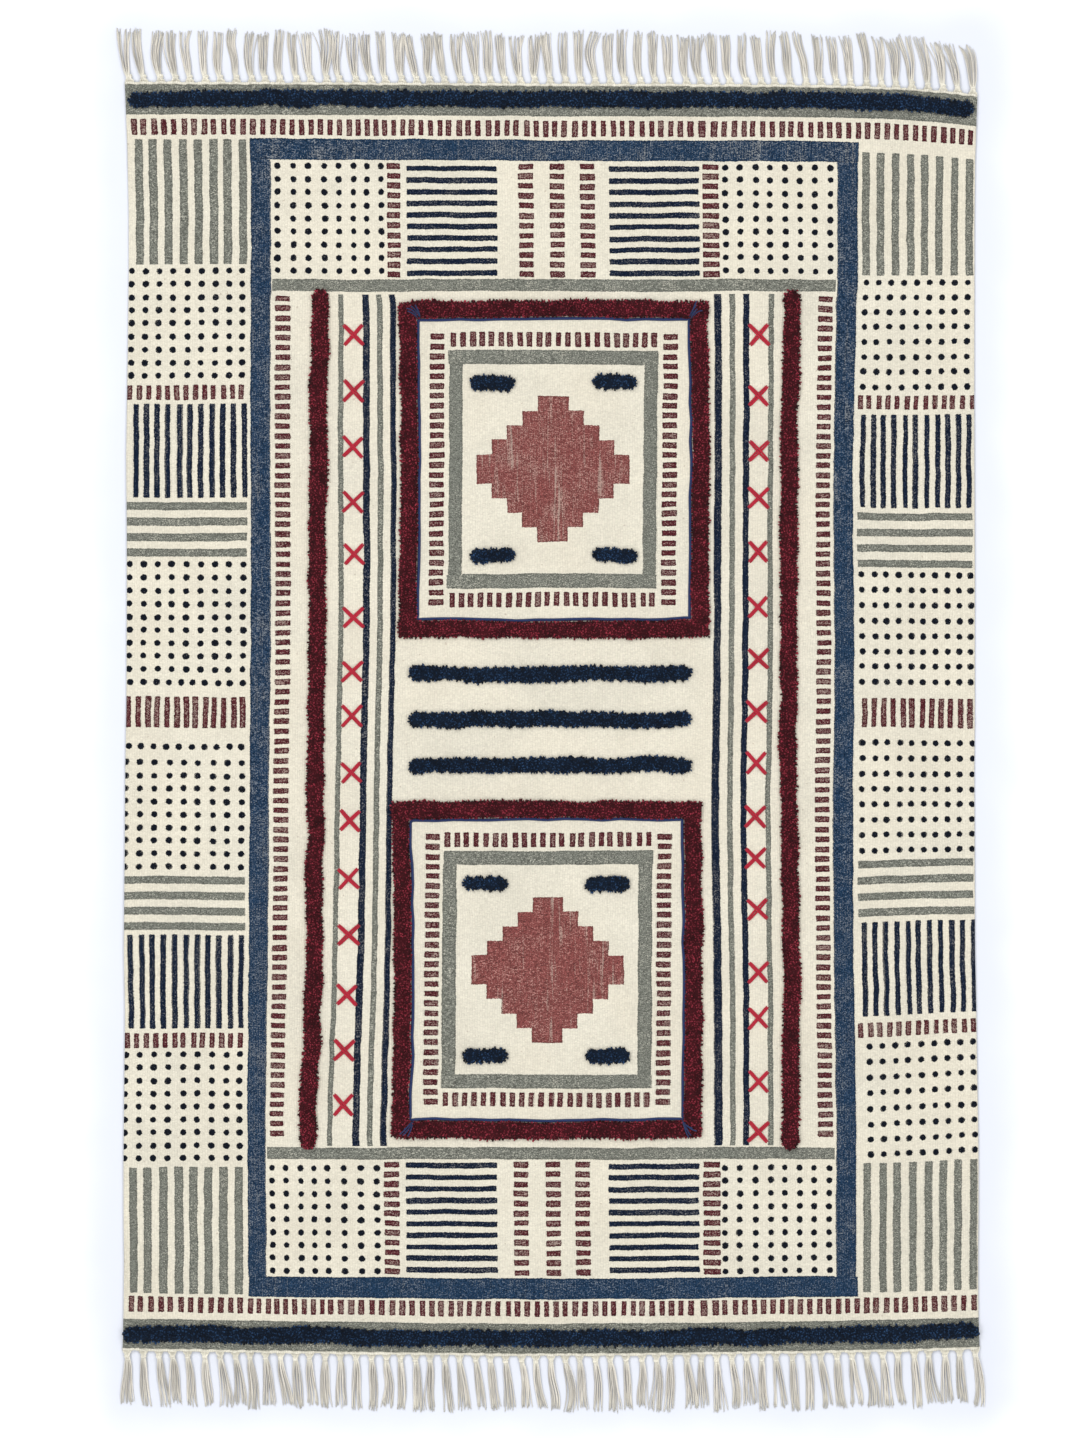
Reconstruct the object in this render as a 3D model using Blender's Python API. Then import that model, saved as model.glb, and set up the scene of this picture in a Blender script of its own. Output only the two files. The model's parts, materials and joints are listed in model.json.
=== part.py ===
"""A flat-woven cotton rug with lines of cut pile tufted into it and a knotted fringe along each end.

Metres, +Z up. The rug lies on its underside at Z 0, with its length along Y and its width along X.
"""

import math
import random

import bmesh
import bpy

MM = 0.001

# The woven cloth.
CLOTH_THICKNESS = 3.0 * MM
GAP = 0.3 * MM  # between pieces that touch
SIDE_POINTS = 21  # outline points down each selvedge
END_POINTS = 25  # outline points across each end
HALF_WIDTH = 610 * MM  # nominal, four feet wide
HALF_LENGTH = 917 * MM  # nominal, six feet long

# How far the selvedges stand out from the middle line, at shares of the length from the far end.
SIDE_STATIONS = (
    # share, left mm, right mm
    (0.00, 609, 612),
    (0.06, 604, 609),
    (0.14, 602, 606),
    (0.35, 608, 605),
    (0.55, 609, 607),
    (0.75, 612, 610),
    (0.87, 614, 613),
    (1.00, 611, 613),
)
LEFT, RIGHT = 1, 2  # columns of SIDE_STATIONS

# How far the two ends stand out from the middle, at shares of the width from the left selvedge.
END_STATIONS = (
    # share, far end mm, near end mm
    (0.00, 920, 910),
    (0.20, 919, 914),
    (0.50, 917, 918),
    (0.80, 915, 914),
    (0.93, 910, 911),
    (1.00, 901, 908),
)
FAR, NEAR = 1, 2  # columns of END_STATIONS
OUTWARDS = {FAR: 1, NEAR: -1}  # along Y

# The knotted fringe: warp ends gathered in bundles past a narrow finishing strip.
STRIP_WIDTH = 5.0 * MM
BUNDLES = 57
FIRST_BUNDLE_INSET = 6.5 * MM
FRINGE_LENGTH = 73 * MM
FRINGE_LENGTH_SPREAD = 4 * MM
ROOT_SPREAD = 1.6 * MM
LEAN_SPREAD = 2.2 * MM
BOW_SPREAD = 1.6 * MM
DRIFT = 3.0 * MM  # how far neighbouring bundles sway together
DRIFT_WAVES = 2.6  # sways along one end
BUNDLE_SECTIONS = (
    # share of length, width mm, height mm
    (0.00, 6.5, 3.0),
    (0.07, 9.5, 5.0),
    (0.15, 7.0, 3.8),
    (0.42, 9.6, 3.2),
    (0.74, 11.2, 2.6),
    (1.00, 12.0, 1.8),
)

# The cut pile, in lines.
LUMP_LENGTH = 27 * MM
PILE_PROFILE = (
    # share of half the width, share of the height
    (-0.84, 0.0),
    (-1.00, 0.42),
    (-0.58, 0.93),
    (0.10, 1.00),
    (0.64, 0.90),
    (1.00, 0.38),
    (0.84, 0.0),
)
PILE_HEIGHT = 8.5 * MM
PILE_HEIGHT_SPREAD = 0.45 * MM
PILE_EDGE_SPREAD = 0.85 * MM
PILE_WANDER = 1.0 * MM
PILE_TIP = 9 * MM  # length of the rounded end of a line
PILE_TIP_TAPER = 0.62

# The end lines lie on the grey end bands.
END_LINE_INSET = {FAR: 24.5 * MM, NEAR: 27.5 * MM}
END_LINE_MARGIN = {FAR: 7 * MM, NEAR: 1 * MM}  # short of the selvedges
END_LINE_WIDTH = 25 * MM

# The side lines run down both sides of the field, a little out of true.
SIDE_LINE_WIDTH = 26 * MM
SIDE_LINE_HALF = 617 * MM
SIDE_LINE_STATIONS = (
    # share of the length, left mm, right mm
    (0.00, 331, 348),
    (0.25, 335, 344),
    (0.55, 337, 343),
    (0.80, 341, 347),
    (1.00, 349, 346),
)

# Two framed panels lie in the field, one towards each end, a little off the middle.
PANEL_PLACES = {"far": 1, "near": -1}
PANEL_MIDDLE_X = 5 * MM
PANEL_MIDDLE_Y = 360 * MM
PANEL_HALF_HEIGHT = 242 * MM
PANEL_HALF_WIDTH = 223 * MM
FRAME_WIDTH = 26 * MM
FRAME_BOW = 2.5 * MM  # how far the middle of a line strays from straight

# Short bars lie in the corners inside each frame.
SHORT_BAR_LENGTH = 62 * MM
SHORT_BAR_WIDTH = 23 * MM
SHORT_BAR_X = 88 * MM
SHORT_BAR_Y = 124 * MM  # from the middle of the panel

# Long bars lie in the space between the panels.
LONG_BAR_PLACES = {"far": 1, "middle": 0, "near": -1}
LONG_BAR_PITCH = 66 * MM
LONG_BAR_HALF = 202 * MM
LONG_BAR_WIDTH = 24 * MM

# Each finish is a name, a colour and a roughness.
COTTON = ("undyed_cotton", (0.80, 0.76, 0.66), 0.9)
FRINGE_COTTON = ("fringe_cotton", (0.66, 0.62, 0.54), 0.9)
MAROON_YARN = ("maroon_yarn", (0.10, 0.018, 0.024), 0.95)
NAVY_YARN = ("navy_yarn", (0.012, 0.022, 0.042), 0.95)


def station_value(stations, share, column):
    """A smooth curve through one column of a table of stations, in metres."""
    share = min(max(share, 0.0), 1.0)
    last = len(stations) - 1
    at = max(i for i in range(last) if stations[i][0] <= share)
    low, high = stations[at], stations[at + 1]
    before, after = stations[max(at - 1, 0)], stations[min(at + 2, last)]
    span = high[0] - low[0]
    t = (share - low[0]) / span
    slope_low = (high[column] - before[column]) / (high[0] - before[0]) * span
    slope_high = (after[column] - low[column]) / (after[0] - low[0]) * span
    value = (2 * t**3 - 3 * t**2 + 1) * low[column]
    value += (t**3 - 2 * t**2 + t) * slope_low
    value += (3 * t**2 - 2 * t**3) * high[column]
    value += (t**3 - t**2) * slope_high
    return value * MM


def side_edge(y, column):
    """X of a selvedge at this Y."""
    share = (HALF_LENGTH - y) / (2 * HALF_LENGTH)
    sign = -1 if column == LEFT else 1
    return sign * station_value(SIDE_STATIONS, share, column)


def end_points(column):
    """One end edge as evenly spaced points, from left to right."""
    outwards = OUTWARDS[column]
    left = side_edge(outwards * HALF_LENGTH, LEFT)
    right = side_edge(outwards * HALF_LENGTH, RIGHT)
    points = []
    for i in range(END_POINTS):
        share = i / (END_POINTS - 1)
        y = outwards * station_value(END_STATIONS, share, column)
        points.append((left + share * (right - left), y))
    return points


END_EDGES = {column: end_points(column) for column in (FAR, NEAR)}


def end_edge(x, column):
    """Y of an end edge at this X, on the straight runs between its points."""
    points = END_EDGES[column]
    for (x0, y0), (x1, y1) in zip(points, points[1:]):
        if x <= x1:
            return y0 + (y1 - y0) * (x - x0) / (x1 - x0)
    return points[-1][1]


def make_material(finish):
    name, colour, roughness = finish
    material = bpy.data.materials.get(name)
    if material is None:
        material = bpy.data.materials.new(name)
        material.use_nodes = True
        shader = material.node_tree.nodes["Principled BSDF"]
        shader.inputs["Base Color"].default_value = (*colour, 1.0)
        shader.inputs["Roughness"].default_value = roughness
    return material


def make_object(name, bm, finish):
    """Turns the finished bmesh into a named object with its material."""
    bmesh.ops.recalc_face_normals(bm, faces=bm.faces)
    mesh = bpy.data.meshes.new(name)
    bm.to_mesh(mesh)
    bm.free()
    mesh.materials.append(make_material(finish))
    piece = bpy.data.objects.new(name, mesh)
    bpy.context.scene.collection.objects.link(piece)
    return piece


def add_ring(bm, places):
    return [bm.verts.new(place) for place in places]


def add_wall(bm, ring, following, opening=None):
    """Quads between two rings of points, leaving out the one numbered as an opening."""
    for i, (vert, beyond) in enumerate(zip(ring, following)):
        if i == opening:
            continue
        after = (i + 1) % len(ring)
        bm.faces.new((vert, ring[after], following[after], beyond))


def loft(bm, rings):
    """A closed solid through rings of points."""
    made = [add_ring(bm, places) for places in rings]
    for ring, following in zip(made, made[1:]):
        add_wall(bm, ring, following)
    bm.faces.new(made[0])
    bm.faces.new(made[-1])


def build_cloth():
    """One flat sheet with the uneven outline of the woven cloth."""
    inset = STRIP_WIDTH + GAP
    far = [(x, y - inset) for x, y in END_EDGES[FAR]]
    near = [(x, y + inset) for x, y in END_EDGES[NEAR]]
    outline = list(far)
    for i in range(1, SIDE_POINTS - 1):
        y = far[-1][1] + (near[-1][1] - far[-1][1]) * i / (SIDE_POINTS - 1)
        outline.append((side_edge(y, RIGHT), y))
    outline += reversed(near)
    for i in range(1, SIDE_POINTS - 1):
        y = near[0][1] + (far[0][1] - near[0][1]) * i / (SIDE_POINTS - 1)
        outline.append((side_edge(y, LEFT), y))
    bm = bmesh.new()
    loft(bm, [[(x, y, z) for x, y in outline] for z in (0.0, CLOTH_THICKNESS)])
    make_object("woven_cloth", bm, COTTON)


def bundle_roots(column):
    """X of each bundle's root, from left to right."""
    chance = random.Random(column)
    first = END_EDGES[column][0][0] + FIRST_BUNDLE_INSET
    last = END_EDGES[column][-1][0] - FIRST_BUNDLE_INSET
    pitch = (last - first) / (BUNDLES - 1)
    roots = []
    for i in range(BUNDLES):
        jitter = chance.uniform(-ROOT_SPREAD, ROOT_SPREAD) if 0 < i < BUNDLES - 1 else 0.0
        roots.append(first + i * pitch + jitter)
    return roots


def bundle_rings(column, number, root):
    """One bundle from its root to its tip, as rings of four corners that lie flat on the floor."""
    chance = random.Random(1000 * column + number)
    length = FRINGE_LENGTH + chance.uniform(-FRINGE_LENGTH_SPREAD, FRINGE_LENGTH_SPREAD)
    sway = math.sin(DRIFT_WAVES * math.pi * root / HALF_WIDTH + column)
    lean = chance.uniform(-LEAN_SPREAD, LEAN_SPREAD) + DRIFT * sway
    bow = chance.uniform(-BOW_SPREAD, BOW_SPREAD)
    rings = []
    for share, width, height in BUNDLE_SECTIONS:
        x = root + lean * share + bow * math.sin(math.pi * share)
        left, right = x - width * MM / 2, x + width * MM / 2
        y_left = y_right = end_edge(root, column) + OUTWARDS[column] * share * length
        if share == 0:
            y_left, y_right = end_edge(left, column), end_edge(right, column)
        top = height * MM
        low = [(left, y_left, 0.0), (right, y_right, 0.0)]
        rings.append(low + [(right, y_right, top), (left, y_left, top)])
    return rings


def build_fringe(name, column):
    """The finishing strip and the bundles that grow out of its outer face, as one solid."""
    bundles = {}
    for number, root in enumerate(bundle_roots(column)):
        rings = bundle_rings(column, number, root)
        bundles[rings[0][0][0]] = rings
    marks = {x for x, _ in END_EDGES[column]}
    for rings in bundles.values():
        left, right = rings[0][0][0], rings[0][1][0]
        marks = {x for x in marks if not left - MM < x < right + MM} | {left, right}
    bm = bmesh.new()
    strip = []
    for x in sorted(marks):
        outer = end_edge(x, column)
        inner = outer - OUTWARDS[column] * STRIP_WIDTH
        corners = ((inner, 0.0), (outer, 0.0), (outer, CLOTH_THICKNESS), (inner, CLOTH_THICKNESS))
        strip.append((x, add_ring(bm, [(x, y, z) for y, z in corners])))
    outer_face = 1  # the wall between the second and third corners
    bm.faces.new(strip[0][1])
    bm.faces.new(strip[-1][1])
    for (x, ring), (_, following) in zip(strip, strip[1:]):
        if x not in bundles:
            add_wall(bm, ring, following)
            continue
        add_wall(bm, ring, following, opening=outer_face)
        root = [ring[1], following[1], following[2], ring[2]]
        for places in bundles[x][1:]:
            tip = add_ring(bm, places)
            add_wall(bm, root, tip)
            root = tip
        bm.faces.new(root)
    make_object(name, bm, FRINGE_COTTON)


def build_pile(name, finish, length, width, place):
    """A lumpy ridge of cut pile. Its middle line is place(distance), for distances up to its length."""
    chance = random.Random(name)
    straight = length - 2 * PILE_TIP
    lumps = max(2, round(straight / LUMP_LENGTH))
    marks = [0.0] + [PILE_TIP + straight * i / lumps for i in range(lumps + 1)] + [length]
    rings = []
    for i, mark in enumerate(marks):
        half = width / 2 + chance.uniform(-PILE_EDGE_SPREAD, PILE_EDGE_SPREAD)
        height = PILE_HEIGHT + chance.uniform(-PILE_HEIGHT_SPREAD, PILE_HEIGHT_SPREAD)
        wander = chance.uniform(-PILE_WANDER, PILE_WANDER)
        if i in (0, len(marks) - 1):
            half *= PILE_TIP_TAPER
            height *= PILE_TIP_TAPER
            wander = 0.0
        x, y = place(mark)
        (x0, y0), (x1, y1) = place(mark - PILE_TIP / 2), place(mark + PILE_TIP / 2)
        run = math.hypot(x1 - x0, y1 - y0)
        across_x, across_y = (y0 - y1) / run, (x1 - x0) / run
        ring = []
        for side_share, height_share in PILE_PROFILE:
            side = wander + half * side_share
            z = CLOTH_THICKNESS + GAP + height * height_share
            ring.append((x + across_x * side, y + across_y * side, z))
        rings.append(ring)
    bm = bmesh.new()
    loft(bm, rings)
    make_object(name, bm, finish)


def build_end_lines():
    for name, column in (("far", FAR), ("near", NEAR)):
        left = END_EDGES[column][0][0] + END_LINE_MARGIN[column]
        right = END_EDGES[column][-1][0] - END_LINE_MARGIN[column]

        def place(distance, column=column, left=left):
            x = left + distance
            return x, end_edge(x, column) - OUTWARDS[column] * END_LINE_INSET[column]

        build_pile(f"end_line_{name}", NAVY_YARN, right - left, END_LINE_WIDTH, place)


def build_side_lines():
    for name, column in (("left", LEFT), ("right", RIGHT)):
        sign = -1 if column == LEFT else 1

        def place(distance, column=column, sign=sign):
            share = distance / (2 * SIDE_LINE_HALF)
            x = sign * station_value(SIDE_LINE_STATIONS, share, column)
            return x, SIDE_LINE_HALF - distance

        build_pile(f"side_line_{name}", MAROON_YARN, 2 * SIDE_LINE_HALF, SIDE_LINE_WIDTH, place)


def build_straight_pile(name, finish, start, end, width, bow=0.0):
    """A ridge of cut pile from start to end, along X or Y, whose middle strays sideways by the bow."""
    (x0, y0), (x1, y1) = start, end
    length = abs(x1 - x0) + abs(y1 - y0)

    def place(distance):
        share = distance / length
        stray = bow * math.sin(math.pi * share)
        x, y = x0 + (x1 - x0) * share, y0 + (y1 - y0) * share
        return (x, y + stray) if y0 == y1 else (x + stray, y)

    build_pile(name, finish, length, width, place)


def build_frame(name, x_middle, y_middle):
    """Four lines of pile around one panel. The upright ones end just short of the others."""
    line_x = PANEL_HALF_WIDTH - FRAME_WIDTH / 2
    line_y = PANEL_HALF_HEIGHT - FRAME_WIDTH / 2
    upright_half = line_y - FRAME_WIDTH / 2 - PILE_EDGE_SPREAD - PILE_WANDER - GAP
    for side, sign in (("far", 1), ("near", -1)):
        y = y_middle + sign * line_y
        start, end = (x_middle - PANEL_HALF_WIDTH, y), (x_middle + PANEL_HALF_WIDTH, y)
        bow = sign * FRAME_BOW
        build_straight_pile(f"{name}_frame_{side}", MAROON_YARN, start, end, FRAME_WIDTH, bow)
    for side, sign in (("left", -1), ("right", 1)):
        x = x_middle + sign * line_x
        start, end = (x, y_middle + upright_half), (x, y_middle - upright_half)
        build_straight_pile(f"{name}_frame_{side}", MAROON_YARN, start, end, FRAME_WIDTH, FRAME_BOW)


def build_short_bars(name, x_middle, y_middle):
    """Four short bars of pile in the corners of one panel."""
    for end_name, up in (("far", 1), ("near", -1)):
        for side, sign in (("left", -1), ("right", 1)):
            x = x_middle + sign * SHORT_BAR_X
            y = y_middle + up * SHORT_BAR_Y
            start, end = (x - SHORT_BAR_LENGTH / 2, y), (x + SHORT_BAR_LENGTH / 2, y)
            bar = f"{name}_bar_{end_name}_{side}"
            build_straight_pile(bar, NAVY_YARN, start, end, SHORT_BAR_WIDTH)


def build_long_bars():
    """Three bars of pile across the space between the panels."""
    for place, step in LONG_BAR_PLACES.items():
        y = step * LONG_BAR_PITCH
        start, end = (-LONG_BAR_HALF, y), (LONG_BAR_HALF, y)
        build_straight_pile(f"long_bar_{place}", NAVY_YARN, start, end, LONG_BAR_WIDTH)


def centre_over_origin():
    """Moves everything sideways so that the origin is under the middle of the rug's box."""
    pieces = [piece for piece in bpy.data.objects if piece.type == "MESH"]
    for axis in (0, 1):
        places = [vert.co[axis] for piece in pieces for vert in piece.data.vertices]
        for piece in pieces:
            piece.location[axis] -= (min(places) + max(places)) / 2


def main():
    for old in list(bpy.data.objects):
        bpy.data.objects.remove(old)
    build_cloth()
    build_fringe("fringe_far", FAR)
    build_fringe("fringe_near", NEAR)
    build_end_lines()
    build_side_lines()
    for place, sign in PANEL_PLACES.items():
        middle = (sign * PANEL_MIDDLE_X, sign * PANEL_MIDDLE_Y)
        build_frame(f"panel_{place}", *middle)
        build_short_bars(f"panel_{place}", *middle)
    build_long_bars()
    centre_over_origin()


main()
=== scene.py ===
"""A flat-woven cotton rug: printed cloth, lines of cut pile, sewn crosses and a knotted fringe.

Metres, +Z up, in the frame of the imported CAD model.
"""

import json
import math
import random

import bmesh
import bpy
import numpy as np
from bpy.props import FloatProperty, FloatVectorProperty, IntProperty, PointerProperty
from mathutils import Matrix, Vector

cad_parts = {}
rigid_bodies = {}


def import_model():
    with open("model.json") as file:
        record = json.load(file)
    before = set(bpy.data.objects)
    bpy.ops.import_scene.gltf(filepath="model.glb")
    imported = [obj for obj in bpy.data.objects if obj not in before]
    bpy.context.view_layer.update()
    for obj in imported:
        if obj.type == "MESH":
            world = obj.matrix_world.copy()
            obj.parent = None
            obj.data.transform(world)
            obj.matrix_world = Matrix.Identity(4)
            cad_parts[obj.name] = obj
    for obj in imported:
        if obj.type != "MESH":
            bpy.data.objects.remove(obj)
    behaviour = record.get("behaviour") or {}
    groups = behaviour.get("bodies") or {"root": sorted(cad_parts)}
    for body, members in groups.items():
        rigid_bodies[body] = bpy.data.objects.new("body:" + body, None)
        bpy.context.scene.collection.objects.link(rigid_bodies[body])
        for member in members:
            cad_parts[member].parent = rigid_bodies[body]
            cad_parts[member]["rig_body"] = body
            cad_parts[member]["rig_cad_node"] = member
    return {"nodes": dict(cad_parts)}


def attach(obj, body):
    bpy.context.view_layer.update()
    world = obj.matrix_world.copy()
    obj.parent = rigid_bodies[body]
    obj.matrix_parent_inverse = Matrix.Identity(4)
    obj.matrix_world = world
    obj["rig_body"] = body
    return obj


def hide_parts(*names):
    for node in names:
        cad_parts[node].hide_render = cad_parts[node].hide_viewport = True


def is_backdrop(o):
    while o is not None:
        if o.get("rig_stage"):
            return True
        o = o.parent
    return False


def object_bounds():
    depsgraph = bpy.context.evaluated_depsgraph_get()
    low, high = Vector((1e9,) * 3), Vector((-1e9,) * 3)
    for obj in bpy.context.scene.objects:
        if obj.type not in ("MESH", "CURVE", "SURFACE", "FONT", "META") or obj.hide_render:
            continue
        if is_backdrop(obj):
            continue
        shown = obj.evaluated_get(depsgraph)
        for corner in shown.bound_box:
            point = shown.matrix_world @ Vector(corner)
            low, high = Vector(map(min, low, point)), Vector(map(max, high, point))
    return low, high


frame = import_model()

bl_info = {
    "name": "Printed cotton rug",
    "version": (1, 0, 0),
    "blender": (4, 5, 0),
    "location": "3D View > Sidebar > Rug",
    "description": "Builds a printed flat-woven rug with lines of cut pile and a knotted fringe",
    "category": "Object",
}

MM = 0.001
CAD_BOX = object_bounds()
BODY = "root"

# The rug's own grid of places: nominal, from the middle of the woven body.
HALF_WIDTH = 610 * MM
HALF_CLOTH = 911.7 * MM  # half the length of the cloth, without the finishing strips
CLOTH_THICKNESS = 3.0 * MM
STRIP_WIDTH = 5.0 * MM
GAP = 0.3 * MM
FAR_LEFT_CORNER = (-609 * MM, 914.7 * MM)  # of the cloth, as the part has it
FAR, NEAR = 1, -1
END_NAMES = {FAR: "far", NEAR: "near"}


def srgb(red, green, blue):
    """A linear colour from the usual 0 to 255 values."""
    values = []
    for value in (red, green, blue):
        share = value / 255
        values.append(share / 12.92 if share <= 0.04045 else ((share + 0.055) / 1.055) ** 2.4)
    return tuple(values)


def colour_property(name, description, default):
    return FloatVectorProperty(
        name=name, description=description, default=default, subtype="COLOR", size=3, min=0.0, max=1.0
    )


def length_property(name, description, default):
    return FloatProperty(
        name=name, description=description, default=default, subtype="DISTANCE", unit="LENGTH", min=0.0
    )


class ClothSettings(bpy.types.PropertyGroup):
    cotton: colour_property("Cotton", "Undyed cotton of the cloth", srgb(221, 215, 198))
    grey_ink: colour_property("Grey ink", "Stripes and bands", srgb(107, 109, 101))
    navy_ink: colour_property("Navy ink", "The wide frame", srgb(24, 50, 76))
    dark_ink: colour_property("Dark ink", "Narrow stripes and upright lines", srgb(8, 24, 46))
    black_ink: colour_property("Black ink", "Dots", srgb(6, 13, 25))
    maroon_ink: colour_property("Maroon ink", "Rows of dashes", srgb(84, 30, 38))
    rust_ink: colour_property("Rust ink", "The large motifs", srgb(120, 58, 57))
    rib: length_property("Rib", "Width of one rib of the weave", 3.6 * MM)
    pick: length_property("Pick", "Height of one pick of the weave", 1.7 * MM)
    dot: length_property("Dot", "Diameter of a printed dot", 9.2 * MM)


class PileSettings(bpy.types.PropertyGroup):
    maroon: colour_property("Maroon pile", "Frames and side lines", srgb(126, 39, 52))
    navy: colour_property("Navy pile", "Bars and end lines", srgb(31, 55, 85))
    lock_pitch: length_property("Lock pitch", "Distance between locks of pile", 2.8 * MM)
    lock_length: length_property("Lock length", "Length of a lock of pile", 7.4 * MM)
    lock_radius: length_property("Lock radius", "Radius of a lock of pile", 1.6 * MM)
    tuft: length_property("Tuft", "Width of the tufts that locks stand together in", 6.5 * MM)


class YarnSettings(bpy.types.PropertyGroup):
    fringe: colour_property("Fringe", "Undyed warp yarn", srgb(222, 216, 206))
    pale_yarn_and_highlight_colour: colour_property("Pale yarn and highlight", "Yarn of the knots and the finishing row", srgb(236, 231, 215))
    red: colour_property("Red yarn", "Sewn crosses", srgb(174, 28, 50))
    navy: colour_property("Navy yarn", "Thin sewn lines", srgb(32, 48, 92))
    strands: IntProperty(
        name="Strands", description="Yarns in one bundle of the fringe", default=12, min=3, max=16
    )
    strand_radius: length_property("Strand radius", "Radius of a fringe yarn", 0.75 * MM)
    cross_size: length_property("Cross", "Width and height of a sewn cross", 29.5 * MM)
    red_radius: length_property("Red yarn radius", "Radius of the red yarn", 1.6 * MM)


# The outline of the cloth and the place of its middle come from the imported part.

LEFT_PART = -550 * MM  # the far left corner of the cloth lies beyond this
SIDE_PART = 580 * MM  # a point of the cloth that is farther out than this is on a long side
END_PART = 880 * MM  # and one that is farther along than this is on an end


def mesh_points(mesh):
    points = np.empty(len(mesh.vertices) * 3)
    mesh.vertices.foreach_get("co", points)
    return points.reshape(-1, 3)


def node_points(name):
    return mesh_points(frame["nodes"][name].data)


def read_outline():
    """The middle of the rug and its four edges, each as two rising rows of numbers."""
    points = node_points("woven_cloth")[:, :2]
    left = points[points[:, 0] < LEFT_PART]
    corner = left[np.argmax(left[:, 1])]
    middle = corner - np.array(FAR_LEFT_CORNER)
    points = np.unique(np.round(points - middle, 6), axis=0)
    edges = {}
    for name, axis, sign, limit in (
        ("left", 0, -1, SIDE_PART),
        ("right", 0, 1, SIDE_PART),
        ("far", 1, 1, END_PART),
        ("near", 1, -1, END_PART),
    ):
        edge = points[points[:, axis] * sign > limit]
        edge = edge[np.argsort(edge[:, 1 - axis])]
        edges[name] = (edge[:, 1 - axis], edge[:, axis])
    return middle, edges


MIDDLE, EDGES = read_outline()


def edge_place(name, along):
    return np.interp(along, *EDGES[name])


# In mm: how high the cloth lies, how much that varies, and the height of its two folding creases.
LIFT, WAVES, CREASES = 0.9, 0.8, 0.7
CREASE_X, CREASE_Y = 7 * MM, -4 * MM
CREASE_WIDTH = 8 * MM


def rise(x, y):
    """How far the cloth lifts off a level floor, which is never quite even."""
    waves = 0.5 * np.sin(7.1 * x + 2.3 * y + 0.6) + 0.32 * np.sin(-4.7 * x + 9.3 * y + 1.9)
    waves += 0.18 * np.sin(15.7 * x + 1.2) * np.sin(11.9 * y + 0.4)
    creases = np.exp(-(((x - CREASE_X) / CREASE_WIDTH) ** 2))
    creases += np.exp(-(((y - CREASE_Y) / CREASE_WIDTH) ** 2))
    return (LIFT + WAVES * waves) * MM + CREASES * MM * creases


# How far the sides spread beyond the outline of the part at places along the rug, and where across
# it that begins.
SPREAD_PLACES = (
    -0.98, -0.91, -0.85, -0.78, -0.60, -0.42, -0.33, -0.08, 0.02, 0.18, 0.27, 0.38, 0.62, 0.80, 0.92
)
LEFT_SPREAD = np.array((5.9, 4.5, 1.8, 0.0, 0.0, 0.0, 2.5, 2.5, 1.0, 0.5, 1.0, 3.5, 4.5, 4.0, 3.0)) * MM
RIGHT_SPREAD = np.array((7.0, 5.5, 3.5, 3.0, 4.5, 4.0, 3.0, 4.0, 5.5, 6.5, 6.5, 6.0, 5.5, 3.0, 3.0)) * MM
SPREAD_FROM = 440 * MM
SPREAD_RUN = 170 * MM


def flare(x, y):
    """How far each side of the rug spreads beyond the outline of the part."""
    out = np.clip((np.abs(x) - SPREAD_FROM) / SPREAD_RUN, 0.0, 1.0)
    left = np.interp(y, SPREAD_PLACES, LEFT_SPREAD)
    right = np.interp(y, SPREAD_PLACES, RIGHT_SPREAD)
    return out * np.where(x < 0, -left, right)


# How the printing drifts sideways: one row of shifts for each place across the rug, with one shift
# for each place along it.
DRIFT_PLACES = np.array((-0.92, -0.63, -0.6, -0.36, -0.1, 0.08, 0.36, 0.6, 0.63, 0.92))
DRIFTS = {
    -0.438: np.array((3, 3, 3, 4, 6, 7, 7, 7, 7, 7)) * MM,
    -0.309: np.array((-6, -8, -8, -2, 4, 7, 8, 8, 8, 8)) * MM,
    -0.243: np.array((-2, -3, -5.5, 0, 5, 7.5, 11, 8, 3, 3)) * MM,
    -0.200: np.array((0, 0, -5, -5, -1, 1, 5, 5, 0, 0)) * MM,
    0.200: np.array((0, 0, -5, -5, -1, 1, 5, 5, 0, 0)) * MM,
    0.233: np.array((8, 9, 12, 9, 6.5, 7.5, 11, 8.5, 8, 8)) * MM,
    0.309: np.array((8, 9, 9, 7, 5, 7, 9, 9, 9, 8)) * MM,
    0.438: np.array((4, 5, 5, 0.5, 0, 1.5, -0.5, 4, 7, 7)) * MM,
}

SQUARE_TO = 0.55  # from here on, rows slant more and more as the end of the cloth does
FRAME_PLACE = 0.438  # the outer side of the navy frame
# Places along the rug, in metres, and how far the rows of the right border climb from the frame to
# the edge there, in mm.
BORDER_CLIMB = ((-0.75, -0.62, -0.45, -0.2, -0.1), (0.0, 7.0, 7.0, 4.0, 0.0))
ROW_WANDER = 0.7 * MM
COLUMN_WANDER = 0.8 * MM


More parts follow.
